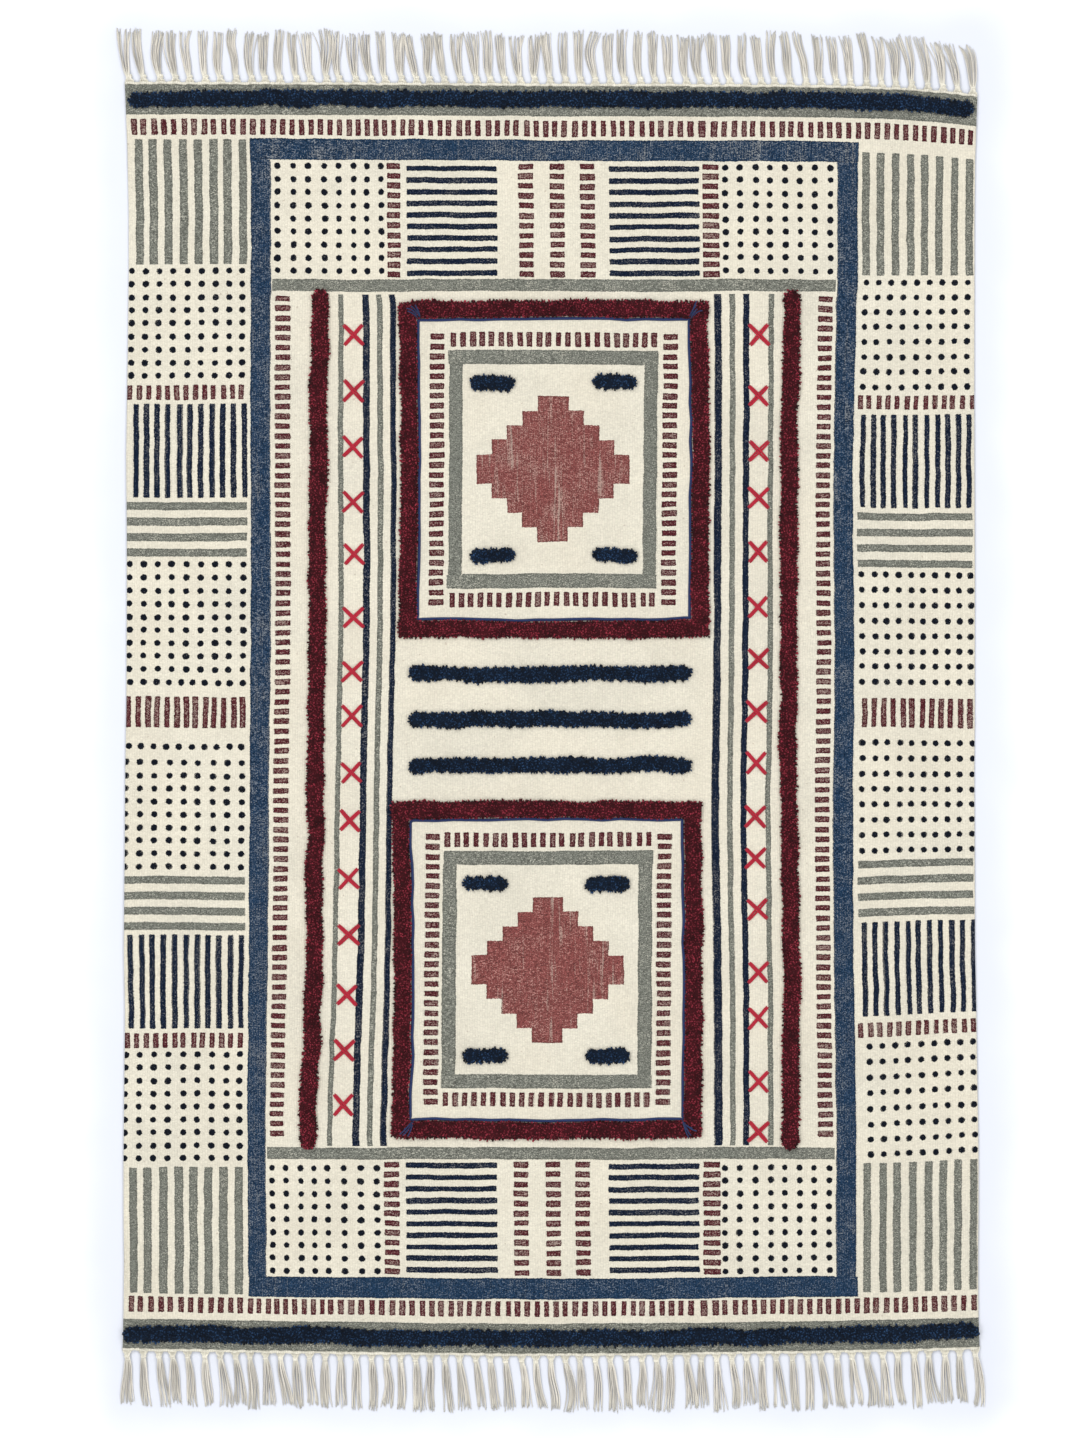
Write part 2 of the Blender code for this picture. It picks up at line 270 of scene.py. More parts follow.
def rug_place(across, along):
    """Where a nominal place on the cloth really lies, as X and Y from the middle of the rug."""
    ends = np.clip((np.abs(along) - SQUARE_TO) / (HALF_CLOTH - SQUARE_TO), 0.0, 1.0)
    ends = ends * ends * (3 - 2 * ends)
    far = edge_place("far", across) - HALF_CLOTH
    near = edge_place("near", across) + HALF_CLOTH
    y = along + np.where(along > 0, far, near) * ends
    climb = np.interp(along, *BORDER_CLIMB) * MM
    y += climb * np.clip((across - FRAME_PLACE) / (HALF_WIDTH - FRAME_PLACE), 0.0, 1.0)
    y += ROW_WANDER * np.sin(17.0 * across + 5.0 * along) * (1 - ends)
    stations = np.array((-HALF_WIDTH, *DRIFTS, HALF_WIDTH))
    x = np.array(across, dtype=float)
    for i, station in enumerate(stations):
        share = np.interp(across, stations, np.eye(len(stations))[i])
        if i == 0:
            shift = edge_place("left", y) + HALF_WIDTH
        elif i == len(stations) - 1:
            shift = edge_place("right", y) - HALF_WIDTH
        else:
            shift = np.interp(along, DRIFT_PLACES, DRIFTS[station])
        x += share * shift
    inner = np.clip(1.6 * (1 - np.abs(across) / HALF_WIDTH), 0.0, 1.0)
    x += COLUMN_WANDER * np.sin(13.0 * along + 2.0 * across) * inner
    return x + flare(x, y), y


# The print, block by block, in millimetres from the middle of the rug.

NO_REPEAT = 10000.0
DOT_MARGIN = 9.4  # of cloth beyond the first and last row of dots
RUN_ON = 20  # how far the shape of an upright line runs on past its block
INKS = {
    # name: strength, wear, streaks, darker rim, how much cotton shows where it is worn
    "grey": (0.97, 0.38, 0.15, 0.55, 0.42),
    "navy": (1.00, 0.40, 0.20, 0.70, 0.25),
    "worn_navy": (1.00, 0.41, 0.20, 0.70, 0.33),
    "dark": (1.00, 0.39, 0.10, 0.45, 0.25),
    "black": (1.00, 0.28, 0.00, 0.00, 0.25),
    "maroon": (1.00, 0.46, 0.10, 0.95, 0.38),
    "rust": (0.98, 0.42, 0.65, 0.80, 0.32),
}


class Print:
    """The blocks of the print. Each is a rectangle of cloth with one repeated shape in one ink."""

    def __init__(self):
        self.blocks = []

    def block(self, ink, box, start, pitch, half, roundness, stepped=0.0):
        self.blocks.append((ink, box, start, pitch, half, roundness, stepped))

    def solid(self, ink, left, right, near, far, margin=2.5):
        box = (left - margin, right + margin, near - margin, far + margin)
        start = ((left + right) / 2, (near + far) / 2)
        half = ((right - left) / 2, (far - near) / 2)
        self.block(ink, box, start, (NO_REPEAT, NO_REPEAT), half, 0.8)

    def upright(self, ink, left, right, near, far, margin=2.5):
        """A solid upright line that runs straight into what lies beyond both its ends."""
        box = (left - margin, right + margin, near, far)
        start = ((left + right) / 2, (near + far) / 2)
        half = ((right - left) / 2, (far - near) / 2 + RUN_ON)
        self.block(ink, box, start, (NO_REPEAT, NO_REPEAT), half, 0.8)

    def columns(self, ink, left, right, near, far, count, width):
        """Upright stripes or dashes, with the first at left and the last at right."""
        pitch = (right - left) / (count - 1)
        box = (left - pitch / 2, right + pitch / 2, near - 3, far + 3)
        start = (left, (near + far) / 2)
        self.block(ink, box, start, (pitch, NO_REPEAT), (width / 2, (far - near) / 2), 1.2)

    def rows(self, ink, left, right, near, far, count, width):
        """Level stripes or dashes, with the first at near and the last at far."""
        pitch = (far - near) / (count - 1)
        box = (left - 3, right + 3, near - pitch / 2, far + pitch / 2)
        start = ((left + right) / 2, near)
        self.block(ink, box, start, (NO_REPEAT, pitch), ((right - left) / 2, width / 2), 1.2)

    def dots(self, left, right, near, far, across, along, width):
        """Dots in rows, with the corner ones at the corners of the rectangle."""
        pitch_x = (right - left) / (across - 1)
        pitch_y = (far - near) / (along - 1) if along > 1 else NO_REPEAT
        margin_y = min(pitch_y / 2, DOT_MARGIN)
        box = (left - pitch_x / 2, right + pitch_x / 2, near - margin_y, far + margin_y)
        half = (width / 2, width / 2)
        self.block("black", box, (left, near), (pitch_x, pitch_y), half, width / 2)


def span(sign, inner, outer, middle=0):
    """The lower and the upper of two places that lie on one side of the middle."""
    return sorted((middle + sign * inner, middle + sign * outer))


def print_left_border(sheet, dot):
    sheet.columns("grey", -594.5, -449.5, 653, 833, 8, 11.6)
    sheet.dots(-605, -449, 495, 645, 9, 9, dot)
    sheet.columns("maroon", -606, -449.5, 461, 482, 13, 7.4)
    sheet.columns("dark", -597, -447, 320, 455, 11, 7.8)
    sheet.rows("grey", -612, -444, 240.5, 307.5, 4, 11.4)
    sheet.dots(-606, -448.5, 72.5, 223.5, 9, 9, dot)
    sheet.dots(-604, -449, 53.5, 53.5, 10, 1, dot)
    sheet.columns("maroon", -606, -448, -11.5, 33.5, 13, 8.0)
    sheet.dots(-606, -449, -39, -39, 10, 1, dot)
    sheet.dots(-610, -449, -212, -62, 9, 9, dot)
    sheet.rows("grey", -612, -444, -298, -231.5, 4, 11.4)
    sheet.columns("dark", -601.5, -448, -445, -310, 11, 7.6)
    sheet.columns("maroon", -606, -449, -473, -451, 13, 7.4)
    sheet.dots(-608, -448, -632.5, -482.5, 9, 9, dot)
    sheet.columns("grey", -597, -450, -831, -645, 8, 11.6)


def print_right_border(sheet, dot):
    sheet.columns("grey", 448, 601.5, 641, 819, 8, 10.8)
    sheet.dots(449, 599.5, 479, 630, 9, 8, dot)
    sheet.columns("maroon", 445, 606, 447, 467, 13, 7.4)
    sheet.columns("dark", 449.5, 602.5, 305, 440, 11, 7.6)
    sheet.rows("grey", 443, 608, 224, 292, 4, 11.0)
    sheet.dots(448.5, 605, 54, 208, 10, 8, dot)
    sheet.columns("maroon", 452, 602, -11.5, 30.5, 12, 8.0)
    sheet.dots(450, 606.5, -189.5, -34, 10, 8, dot)
    sheet.rows("grey", 443, 608, -279, -209, 4, 11.0)
    sheet.columns("dark", 452, 607, -428, -293, 11, 7.6)
    sheet.columns("maroon", 445, 606, -458, -437, 13, 7.6)
    sheet.dots(457, 605, -627, -471, 9, 8, dot)
    sheet.columns("grey", 452, 603, -828, -640, 8, 10.8)


def print_ends(sheet):
    """A grey band and a row of dashes along each end of the cloth."""
    for sign in (FAR, NEAR):
        sheet.solid("grey", -618, 618, *span(sign, 869, 920))
    for near, far in ((839.5, 862.5), (-858.8, -835.8)):
        sheet.columns("maroon", -600, 603, near, far, 88, 7.9)


def print_frame(sheet):
    """The wide navy frame, and a grey line across it at each end of the field."""
    for sign in (FAR, NEAR):
        sheet.solid("worn_navy" if sign == FAR else "navy", -438, 438, *span(sign, 804, 834))
        sheet.solid("grey", -416, 416, *span(sign, 616, 633))
    for left, right in ((-438, -410), (407, 436.5)):
        sheet.upright("navy", left, right, -804.5, 804.5)


def print_end_panels(sheet, dot):
    """Dots, dashes and level stripes between the navy frame and the field."""
    for sign, steps in ((FAR, (-35, 9.5, 53.5)), (NEAR, (-41.5, 4.5, 48))):
        for left, right in ((-399, -246), (244, 396)):
            sheet.dots(left, right, *span(sign, 645.5, 795.5), 8, 9, dot)
        for middle in (-226, 226):
            sheet.rows("maroon", middle - 10.3, middle + 10.3, *span(sign, 640.5, 795.5), 12, 8.6)
        for left, right in ((-206, -75), (86, 213)):
            sheet.rows("dark", left, right, *span(sign, 642.5, 792), 10, 7.9)
        for middle in steps:
            sheet.rows("maroon", middle - 10.7, middle + 10.7, *span(sign, 640.5, 795.5), 12, 8.6)


# The upright lines at each side of the field: place across, width and ink.
UPRIGHTS = ((309, 7.8, "grey"), (273, 9.2, "dark"), (253, 7.6, "grey"), (233, 9.6, "dark"))


def print_field(sheet):
    """Ladders of dashes and the upright lines at both sides of the field."""
    for sign, ladder in ((-1, (-402.3, -380.3)), (1, (379, 401))):
        sheet.rows("maroon", *ladder, -596, 605, 86, 8.4)
        for middle, width, ink in UPRIGHTS:
            left, right = sign * middle - width / 2, sign * middle + width / 2
            sheet.upright(ink, left, right, -616.5, 616.5, margin=1.0)


def print_panels(sheet):
    """A ladder of dashes, a grey frame and a stepped lozenge in each of the two panels."""
    for middle in (-360, 360):
        for sign in (-1, 1):
            sheet.rows("maroon", *span(sign, 156.5, 177.5), middle - 190.5, middle + 190.5, 28, 8.7)
            sheet.columns("maroon", -145, 145, *span(sign, 176.5, 197.5, middle), 22, 8.3)
            sheet.solid("grey", -151, 151, *span(sign, 151, 171, middle), margin=1.5)
        for sign in (-1, 1):
            sheet.upright("grey", *span(sign, 131, 151), middle - 151.5, middle + 151.5, margin=1.5)
        box = (-118, 118, middle - 112, middle + 112)
        pitch = (NO_REPEAT, NO_REPEAT)
        sheet.block("rust", box, (0, middle), pitch, (110, 105), 0.0, stepped=21.0)


def design_print(dot):
    sheet = Print()
    print_ends(sheet)
    print_left_border(sheet, dot)
    print_right_border(sheet, dot)
    print_end_panels(sheet, dot)
    print_field(sheet)
    print_panels(sheet)
    print_frame(sheet)
    return sheet.blocks


# Meshes.


def mesh_from_arrays(name, points, face_sets):
    """A mesh from an array of points and arrays of faces, each array with one number of corners."""
    mesh = bpy.data.meshes.new(name)
    corners = np.concatenate([faces.ravel() for faces in face_sets]).astype(np.int32)
    sizes = np.concatenate([np.full(len(faces), faces.shape[1], np.int32) for faces in face_sets])
    starts = np.concatenate(([0], np.cumsum(sizes)[:-1])).astype(np.int32)
    mesh.vertices.add(len(points))
    mesh.vertices.foreach_set("co", np.ascontiguousarray(points, dtype=np.float32).ravel())
    mesh.loops.add(len(corners))
    mesh.loops.foreach_set("vertex_index", corners)
    mesh.polygons.add(len(sizes))
    mesh.polygons.foreach_set("loop_start", starts)
    mesh.polygons.foreach_set("use_smooth", np.ones(len(sizes), bool))
    mesh.update(calc_edges=True)
    if mesh.validate():
        raise RuntimeError(f"{name} has faulty faces")
    return mesh


def set_attribute(mesh, name, kind, domain, values):
    attribute = mesh.attributes.new(name, kind, domain)
    key = "value" if kind == "FLOAT" else "vector"
    attribute.data.foreach_set(key, np.ascontiguousarray(values, dtype=np.float32).ravel())


def link_piece(name, mesh, material):
    mesh.materials.append(material)
    piece = bpy.data.objects.new(name, mesh)
    bpy.context.scene.collection.objects.link(piece)
    return piece


def ring_faces(count, length, sides):
    """Quads between the rings of closed tubes, and the caps at both ends of each tube."""
    index = np.arange(count * length * sides).reshape(count, length, sides)
    after = np.roll(index, -1, axis=2)
    quads = np.stack((index[:, :-1], after[:, :-1], after[:, 1:], index[:, 1:]), axis=-1)
    return quads, np.concatenate((index[:, 0, ::-1], index[:, -1]))


def tube_arrays(paths, radii, sides):
    """Closed tubes along paths that all have the same number of points.

    Gives the points, the face arrays and, for each corner, its place around, its place along
    and the tube's own number.
    """
    count, length, _ = paths.shape
    tangents = np.gradient(paths, axis=1)
    tangents /= np.linalg.norm(tangents, axis=2, keepdims=True)
    across = np.cross(tangents, (0.0, 0.0, 1.0))
    across /= np.maximum(np.linalg.norm(across, axis=2, keepdims=True), 1e-9)
    over = np.cross(across, tangents)
    angles = np.arange(sides) / sides * 2 * math.pi
    ring = np.cos(angles)[:, None] * across[:, :, None, :] + np.sin(angles)[:, None] * over[:, :, None, :]
    points = paths[:, :, None, :] + ring * radii[:, :, None, None]
    quads, caps = ring_faces(count, length, sides)
    steps = np.linalg.norm(np.diff(paths, axis=1), axis=2)
    runs = np.concatenate((np.zeros((count, 1)), np.cumsum(steps, axis=1)), axis=1)
    turn = np.arange(sides) / sides
    places = np.zeros((*quads.shape, 3))
    places[..., 0, 0] = places[..., 3, 0] = turn
    places[..., 1, 0] = places[..., 2, 0] = turn + 1 / sides
    places[..., 0, 1] = places[..., 1, 1] = runs[:, :-1, None]
    places[..., 2, 1] = places[..., 3, 1] = runs[:, 1:, None]
    places[..., 2] = np.arange(count)[:, None, None, None]
    cap_places = np.zeros((2 * count, sides, 3))
    cap_places[:, :, 0] = turn
    cap_places[count:, :, 1] = runs[:, -1, None]
    cap_places[..., 2] = np.tile(np.arange(count), 2)[:, None]
    corner_places = np.concatenate((places.reshape(-1, 3), cap_places.reshape(-1, 3)))
    return points.reshape(-1, 3), quads.reshape(-1, 4), caps, corner_places


def tube_mesh(name, groups):
    """One mesh from groups of tubes, each a set of paths, their radii and a number of sides."""
    points, quads, caps, quad_places, cap_places = [], [], [], [], []
    base = number = 0
    for paths, radii, sides in groups:
        new_points, new_quads, new_caps, places = tube_arrays(paths, radii, sides)
        places[:, 2] += number
        points.append(new_points)
        quads.append(new_quads + base)
        caps.append(new_caps + base)
        quad_places.append(places[: new_quads.size])
        cap_places.append(places[new_quads.size :])
        base += len(new_points)
        number += len(paths)
    face_sets = [np.concatenate(quads), *caps]
    mesh = mesh_from_arrays(name, np.concatenate(points), face_sets)
    set_attribute(mesh, "yarn_place", "FLOAT_VECTOR", "CORNER", np.concatenate(quad_places + cap_places))
    return mesh


# Shader nodes.


class Nodes:
    """Adds nodes to one tree, so that each line of a material reads as what it does."""

    def __init__(self, tree):
        self.tree = tree

    def add(self, kind, inputs=(), **settings):
        node = self.tree.nodes.new(kind)
        for name, value in settings.items():
            setattr(node, name, value)
        for key, value in dict(inputs).items():
            self.feed(node.inputs[key], value)
        return node

    def feed(self, socket, value):
        if isinstance(value, bpy.types.NodeSocket):
            self.tree.links.new(value, socket)
        else:
            socket.default_value = value

    def math(self, operation, *values):
        node = self.add("ShaderNodeMath", operation=operation)
        for socket, value in zip(node.inputs, values):
            self.feed(socket, value)
        return node.outputs[0]

    def vector(self, operation, *values):
        node = self.add("ShaderNodeVectorMath", operation=operation)
        for socket, value in zip(node.inputs, values):
            self.feed(socket, value)
        return node.outputs["Value" if operation == "LENGTH" else "Vector"]

    def scale(self, vector, factor):
        node = self.add("ShaderNodeVectorMath", operation="SCALE")
        self.feed(node.inputs[0], vector)
        self.feed(node.inputs["Scale"], factor)
        return node.outputs["Vector"]

    def split(self, vector):
        return self.add("ShaderNodeSeparateXYZ", {"Vector": vector}).outputs

    def join(self, x=0.0, y=0.0, z=0.0):
        return self.add("ShaderNodeCombineXYZ", {"X": x, "Y": y, "Z": z}).outputs[0]

    def ramp(self, value, low, high, start=0.0, end=1.0):
        """Runs smoothly from start to end as the value goes from low to high."""
        inputs = {"Value": value, "From Min": low, "From Max": high, "To Min": start, "To Max": end}
        return self.add("ShaderNodeMapRange", inputs, interpolation_type="SMOOTHSTEP").outputs[0]

    def noise(self, vector, scale, detail=2.0, roughness=0.5, output="Fac"):
        inputs = {"Vector": vector, "Scale": scale, "Detail": detail, "Roughness": roughness}
        return self.add("ShaderNodeTexNoise", inputs).outputs[output]

    def chance(self, x, y, z):
        """A chance from 0 to 1 that belongs to three numbers."""
        return self.add("ShaderNodeTexWhiteNoise", {"Vector": self.join(x, y, z)}).outputs["Value"]

    def swing(self, value, amount, base=0.0):
        """The base, moved by the amount times the value's swing about a half."""
        return self.math("MULTIPLY_ADD", self.math("SUBTRACT", value, 0.5), amount, base)

    def shaded(self, shade, value, depth, least):
        """The shade times a factor that grows with the value, from the least by the depth."""
        return self.math("MULTIPLY", shade, self.math("MULTIPLY_ADD", value, depth, least))

    def wander(self, place, scale, detail, amount):
        """A shift that changes smoothly from place to place."""
        drift = self.noise(place, scale, detail, output="Color")
        return self.scale(self.vector("SUBTRACT", drift, (0.5, 0.5, 0.5)), amount)

    def humps(self, value):
        """A row of round humps, one for each whole step of the value."""
        return self.math("ABSOLUTE", self.math("SINE", self.math("MULTIPLY", value, math.pi)))

    def repeated(self, value, pitch):
        """The value within its own repeat, from half a pitch below 0 to half a pitch above."""
        return self.math("WRAP", value, self.math("MULTIPLY", pitch, 0.5), self.math("MULTIPLY", pitch, -0.5))

    def mix(self, factor, first, second, blend="MIX"):
        node = self.add("ShaderNodeMix", data_type="RGBA", blend_type=blend)
        self.feed(node.inputs["Factor"], factor)
        self.feed(node.inputs["A"], first)
        self.feed(node.inputs["B"], second)
        return node.outputs["Result"]

    def attribute(self, name, output="Vector"):
        return self.add("ShaderNodeAttribute", attribute_name=name).outputs[output]

    def bump(self, height, distance, strength=1.0):
        inputs = {"Height": height, "Distance": distance, "Strength": strength}
        return self.add("ShaderNodeBump", inputs).outputs["Normal"]

    def placed(self, group, inputs):
        node = self.add("ShaderNodeGroup", node_tree=group)
        for key, value in inputs.items():
            self.feed(node.inputs[key], value)
        return node.outputs


def rgba(colour, factor=1.0):
    return (*(min(value * factor, 1.0) for value in colour), 1.0)


def new_material(name):
    material = bpy.data.materials.new(name)
    material.use_nodes = True
    nodes = Nodes(material.node_tree)
    shader = material.node_tree.nodes["Principled BSDF"]
    return material, nodes, shader


def new_group(name, inputs, outputs):
    """An empty shader node group with named float and vector sockets, and its input and output nodes."""
    tree = bpy.data.node_groups.new(name, "ShaderNodeTree")
    for direction, sockets in (("INPUT", inputs), ("OUTPUT", outputs)):
        for socket, kind, default in sockets:
            made = tree.interface.new_socket(socket, in_out=direction, socket_type=f"NodeSocket{kind}")
            if default is not None:
                made.default_value = default
    nodes = Nodes(tree)
    return tree, nodes, nodes.add("NodeGroupInput").outputs, nodes.add("NodeGroupOutput").inputs


def fibre_group():
    """Fine uneven fibres and slow changes of shade, for cloth, yarn and pile alike."""
    name = "Cotton fibre"
    if name in bpy.data.node_groups:
        return bpy.data.node_groups[name]
    inputs = (("Place", "Vector", None), ("Fibre", "Float", 900.0), ("Patch", "Float", 20.0))
    outputs = (("Fine", "Float", None), ("Slow", "Float", None))
    tree, nodes, given, result = new_group(name, inputs, outputs)
    fine = nodes.noise(given["Place"], given["Fibre"], 3.0, 0.6)
    slow = nodes.noise(given["Place"], given["Patch"], 3.0, 0.55)
    nodes.feed(result["Fine"], nodes.ramp(fine, 0.3, 0.7))
    nodes.feed(result["Slow"], nodes.ramp(slow, 0.3, 0.7))
    return tree


def twist_group():
    """The slanting plies of a twisted yarn, from the yarn's own place around and along it."""
    name = "Twisted yarn"
    if name in bpy.data.node_groups:
        return bpy.data.node_groups[name]
    inputs = (("Place", "Vector", None), ("Plies", "Float", 2.0), ("Twist length", "Float", 0.006))
    outputs = (("Height", "Float", None), ("Yarn", "Float", None))
    tree, nodes, given, result = new_group(name, inputs, outputs)
    around, along, number = nodes.split(given["Place"])[:3]
    turns = nodes.math("DIVIDE", along, given["Twist length"])
    phase = nodes.math("MULTIPLY", nodes.math("ADD", around, turns), given["Plies"])
    wave = nodes.math("PINGPONG", phase, 0.5)
    nodes.feed(result["Height"], nodes.ramp(wave, 0.0, 0.5))
    nodes.feed(result["Yarn"], nodes.chance(number, 0.5, 0.5))
    return tree


WEAVE_WANDER = 4.2 * MM
EDGE_WANDER = 4.2 * MM  # of the edges of the print, slow
EDGE_FRAY = 2.4 * MM  # and fine
COLUMN_JOG = 2.2 * MM  # of one column or row of a repeat
ROW_JOG = 1.2 * MM
SIZE_JOG = 0.7 * MM  # of one shape's size
WHOLE_LINE = -7.0  # stands for the row or the column where a whole line jogs
SMALLEST_STEP = 1.0 * MM
STEP_SLANT = 22.0 / 21.0  # width of a stepped shape's steps for their height


def weave_nodes(nodes, place, rib, pick):
    """Height of the weave, with thick weft over hidden warp: ribs along Y and picks across them."""
    x, y = nodes.split(nodes.vector("ADD", place, nodes.wander(place, 45.0, 1.0, WEAVE_WANDER)))[:2]
    across = nodes.math("DIVIDE", x, rib)
    column = nodes.math("FLOOR", across)
    rib_wave = nodes.humps(across)
    lift = nodes.math("MULTIPLY", nodes.math("MODULO", column, 2.0), 0.5)
    along = nodes.math("ADD", nodes.math("DIVIDE", y, pick), lift)
    pick_wave = nodes.humps(along)
    thread = nodes.chance(column, nodes.math("FLOOR", along), 0.0)
    height = nodes.math("MULTIPLY", nodes.math("POWER", rib_wave, 0.6), nodes.math("POWER", pick_wave, 0.5))
    return height, rib_wave, thread


def print_distance_nodes(nodes, place):
    """Distance from the edge of the printed shape, below 0 inside it, and the shape's own chance."""
    stepped = nodes.attribute("print_stepped", "Fac")
    half_x, half_y, roundness = nodes.split(nodes.attribute("print_half"))[:3]
    pitch_x, pitch_y = nodes.split(nodes.attribute("print_pitch"))[:2]
    spot_x, spot_y, number = nodes.split(nodes.attribute("print_place"))[:3]

    # Each shape of a repeat sits a little off its even place, and its edges wander.
    column = nodes.math("ROUND", nodes.math("DIVIDE", spot_x, pitch_x))
    row = nodes.math("ROUND", nodes.math("DIVIDE", spot_y, pitch_y))
    item = nodes.chance(column, row, number)
    slow = nodes.wander(place, 24.0, 2.0, EDGE_WANDER)
    fine = nodes.wander(place, 420.0, 1.0, EDGE_FRAY)
    shift_x, shift_y = nodes.split(nodes.vector("ADD", slow, fine))[:2]
    jog_x = nodes.swing(nodes.chance(column, WHOLE_LINE, number), COLUMN_JOG, shift_x)
    jog_y = nodes.swing(nodes.chance(WHOLE_LINE, row, number), ROW_JOG, shift_y)
    x = nodes.math("ABSOLUTE", nodes.math("ADD", nodes.repeated(spot_x, pitch_x), jog_x))
    y = nodes.math("ABSOLUTE", nodes.math("ADD", nodes.repeated(spot_y, pitch_y), jog_y))

    # A rectangle with rounded corners, which a stepped shape narrows step by step.
    steps = nodes.math("FLOOR", nodes.math("DIVIDE", y, nodes.math("MAXIMUM", stepped, SMALLEST_STEP)))
    narrowing = nodes.math("MULTIPLY", steps, nodes.math("MULTIPLY", stepped, STEP_SLANT))
    core_x = nodes.math("SUBTRACT", half_x, roundness)
    core_y = nodes.math("SUBTRACT", half_y, roundness)
    over_x = nodes.math("SUBTRACT", nodes.math("ADD", x, narrowing), core_x)
    over_y = nodes.math("SUBTRACT", y, core_y)
    outside = nodes.join(nodes.math("MAXIMUM", over_x, 0.0), nodes.math("MAXIMUM", over_y, 0.0))
    inside = nodes.math("MINIMUM", nodes.math("MAXIMUM", over_x, over_y), 0.0)
    distance = nodes.math("ADD", nodes.vector("LENGTH", outside), inside)
    size = nodes.math("ADD", roundness, nodes.swing(item, SIZE_JOG))
    return nodes.math("SUBTRACT", distance, size), item


def make_cloth_material(settings):
    """Undyed cotton, weft over ribs, with the block print worn off its high threads."""
    material, nodes, shader = new_material("printed cotton cloth")
    place = nodes.add("ShaderNodeTexCoord").outputs["Object"]
    height, rib_wave, thread = weave_nodes(nodes, place, settings.rib, settings.pick)
    fibre = nodes.placed(fibre_group(), {"Place": place, "Fibre": 620.0, "Patch": 9.0})

    # The bare cotton.
    shade = nodes.math("MULTIPLY_ADD", thread, 0.14, 0.895)
    shade = nodes.shaded(shade, fibre["Fine"], 0.12, 0.935)
    shade = nodes.shaded(shade, fibre["Slow"], 0.08, 0.955)
    # Painted shade: the cotton is darker in the low parts of the weave, between ribs and picks.
    shade = nodes.shaded(shade, height, 0.15, 0.885)
    cotton = nodes.scale(settings.cotton[:], shade)
    tint = nodes.ramp(nodes.noise(place, 6.0, 2.0), 0.35, 0.65)
    cotton = nodes.mix(nodes.math("MULTIPLY", tint, 0.10), cotton, rgba(srgb(236, 219, 190)))
    specks = nodes.ramp(nodes.noise(place, 210.0, 1.0, 0.4), 0.735, 0.80, 0.0, 0.35)
    cotton = nodes.mix(specks, cotton, rgba(srgb(132, 104, 84)))

    # Where the ink is: how thin it lies decides how much of the cotton shows through.
    distance, item = print_distance_nodes(nodes, place)
    ink = nodes.attribute("print_ink", "Vector")
    strength, wear, streaks = nodes.split(nodes.attribute("print_wear"))[:3]
    rim_strength, fade = nodes.split(nodes.attribute("print_edge"))[:2]
    edge = nodes.ramp(distance, -0.4 * MM, 0.4 * MM, 1.0, 0.0)
    rim = nodes.ramp(distance, -2.6 * MM, -0.8 * MM)
    patch = nodes.noise(place, 26.0, 3.0, 0.6)
    grain = nodes.noise(nodes.vector("MULTIPLY", place, (1.0, 1.6, 1.0)), 480.0, 2.0, 0.7)
    tall = nodes.vector("MULTIPLY", place, (1.0, 0.055, 1.0))
    streak = nodes.ramp(nodes.noise(tall, 190.0, 2.0, 0.6), 0.50, 0.72)
    broad = nodes.noise(nodes.vector("MULTIPLY", place, (1.0, 0.12, 1.0)), 34.0, 1.0)
    broad = nodes.ramp(broad, 0.42, 0.62)
    streak = nodes.math("MULTIPLY", nodes.math("MULTIPLY", streak, streaks), nodes.math("ADD", broad, 0.25))
    thin = nodes.math("ADD", nodes.swing(patch, 0.28), nodes.math("ADD", grain, wear))
    thin = nodes.swing(item, 0.07, thin)
    thin = nodes.math("MULTIPLY_ADD", nodes.math("SUBTRACT", 1.0, rib_wave), 0.07, thin)
    thin = nodes.swing(thread, 0.12, thin)
    thin = nodes.math("MULTIPLY_ADD", streak, 0.35, thin)
    held = nodes.math("MULTIPLY", rim, rim_strength)
    thin = nodes.math("MULTIPLY_ADD", held, -0.16, thin)
    bare = nodes.ramp(thin, 0.98, 1.13)
    cover = nodes.math("SUBTRACT", 1.0, nodes.math("MULTIPLY", bare, fade))
    cover = nodes.math("MULTIPLY", nodes.math("MULTIPLY", cover, strength), edge)

    # The ink's own shade, uneven with the grain and darker where it gathers at the rim.
    ink_shade = nodes.math("MAXIMUM", nodes.math("MULTIPLY_ADD", grain, 4.4, -1.20), 0.3)
    ink_shade = nodes.shaded(ink_shade, thread, 0.5, 0.75)
    ink_shade = nodes.shaded(ink_shade, held, -0.40, 1.0)
    nodes.feed(shader.inputs["Base Color"], nodes.mix(cover, cotton, nodes.scale(ink, ink_shade)))
    rough = nodes.math("MULTIPLY_ADD", fibre["Fine"], 0.1, 0.84)
    rough = nodes.math("MULTIPLY_ADD", cover, -0.06, rough)
    nodes.feed(shader.inputs["Roughness"], rough)
    relief = nodes.math("ADD", height, nodes.math("MULTIPLY", fibre["Fine"], 0.35))
    nodes.feed(shader.inputs["Normal"], nodes.bump(relief, 0.9 * MM, 0.75))
    shader.inputs["Specular IOR Level"].default_value = 0.12
    return material


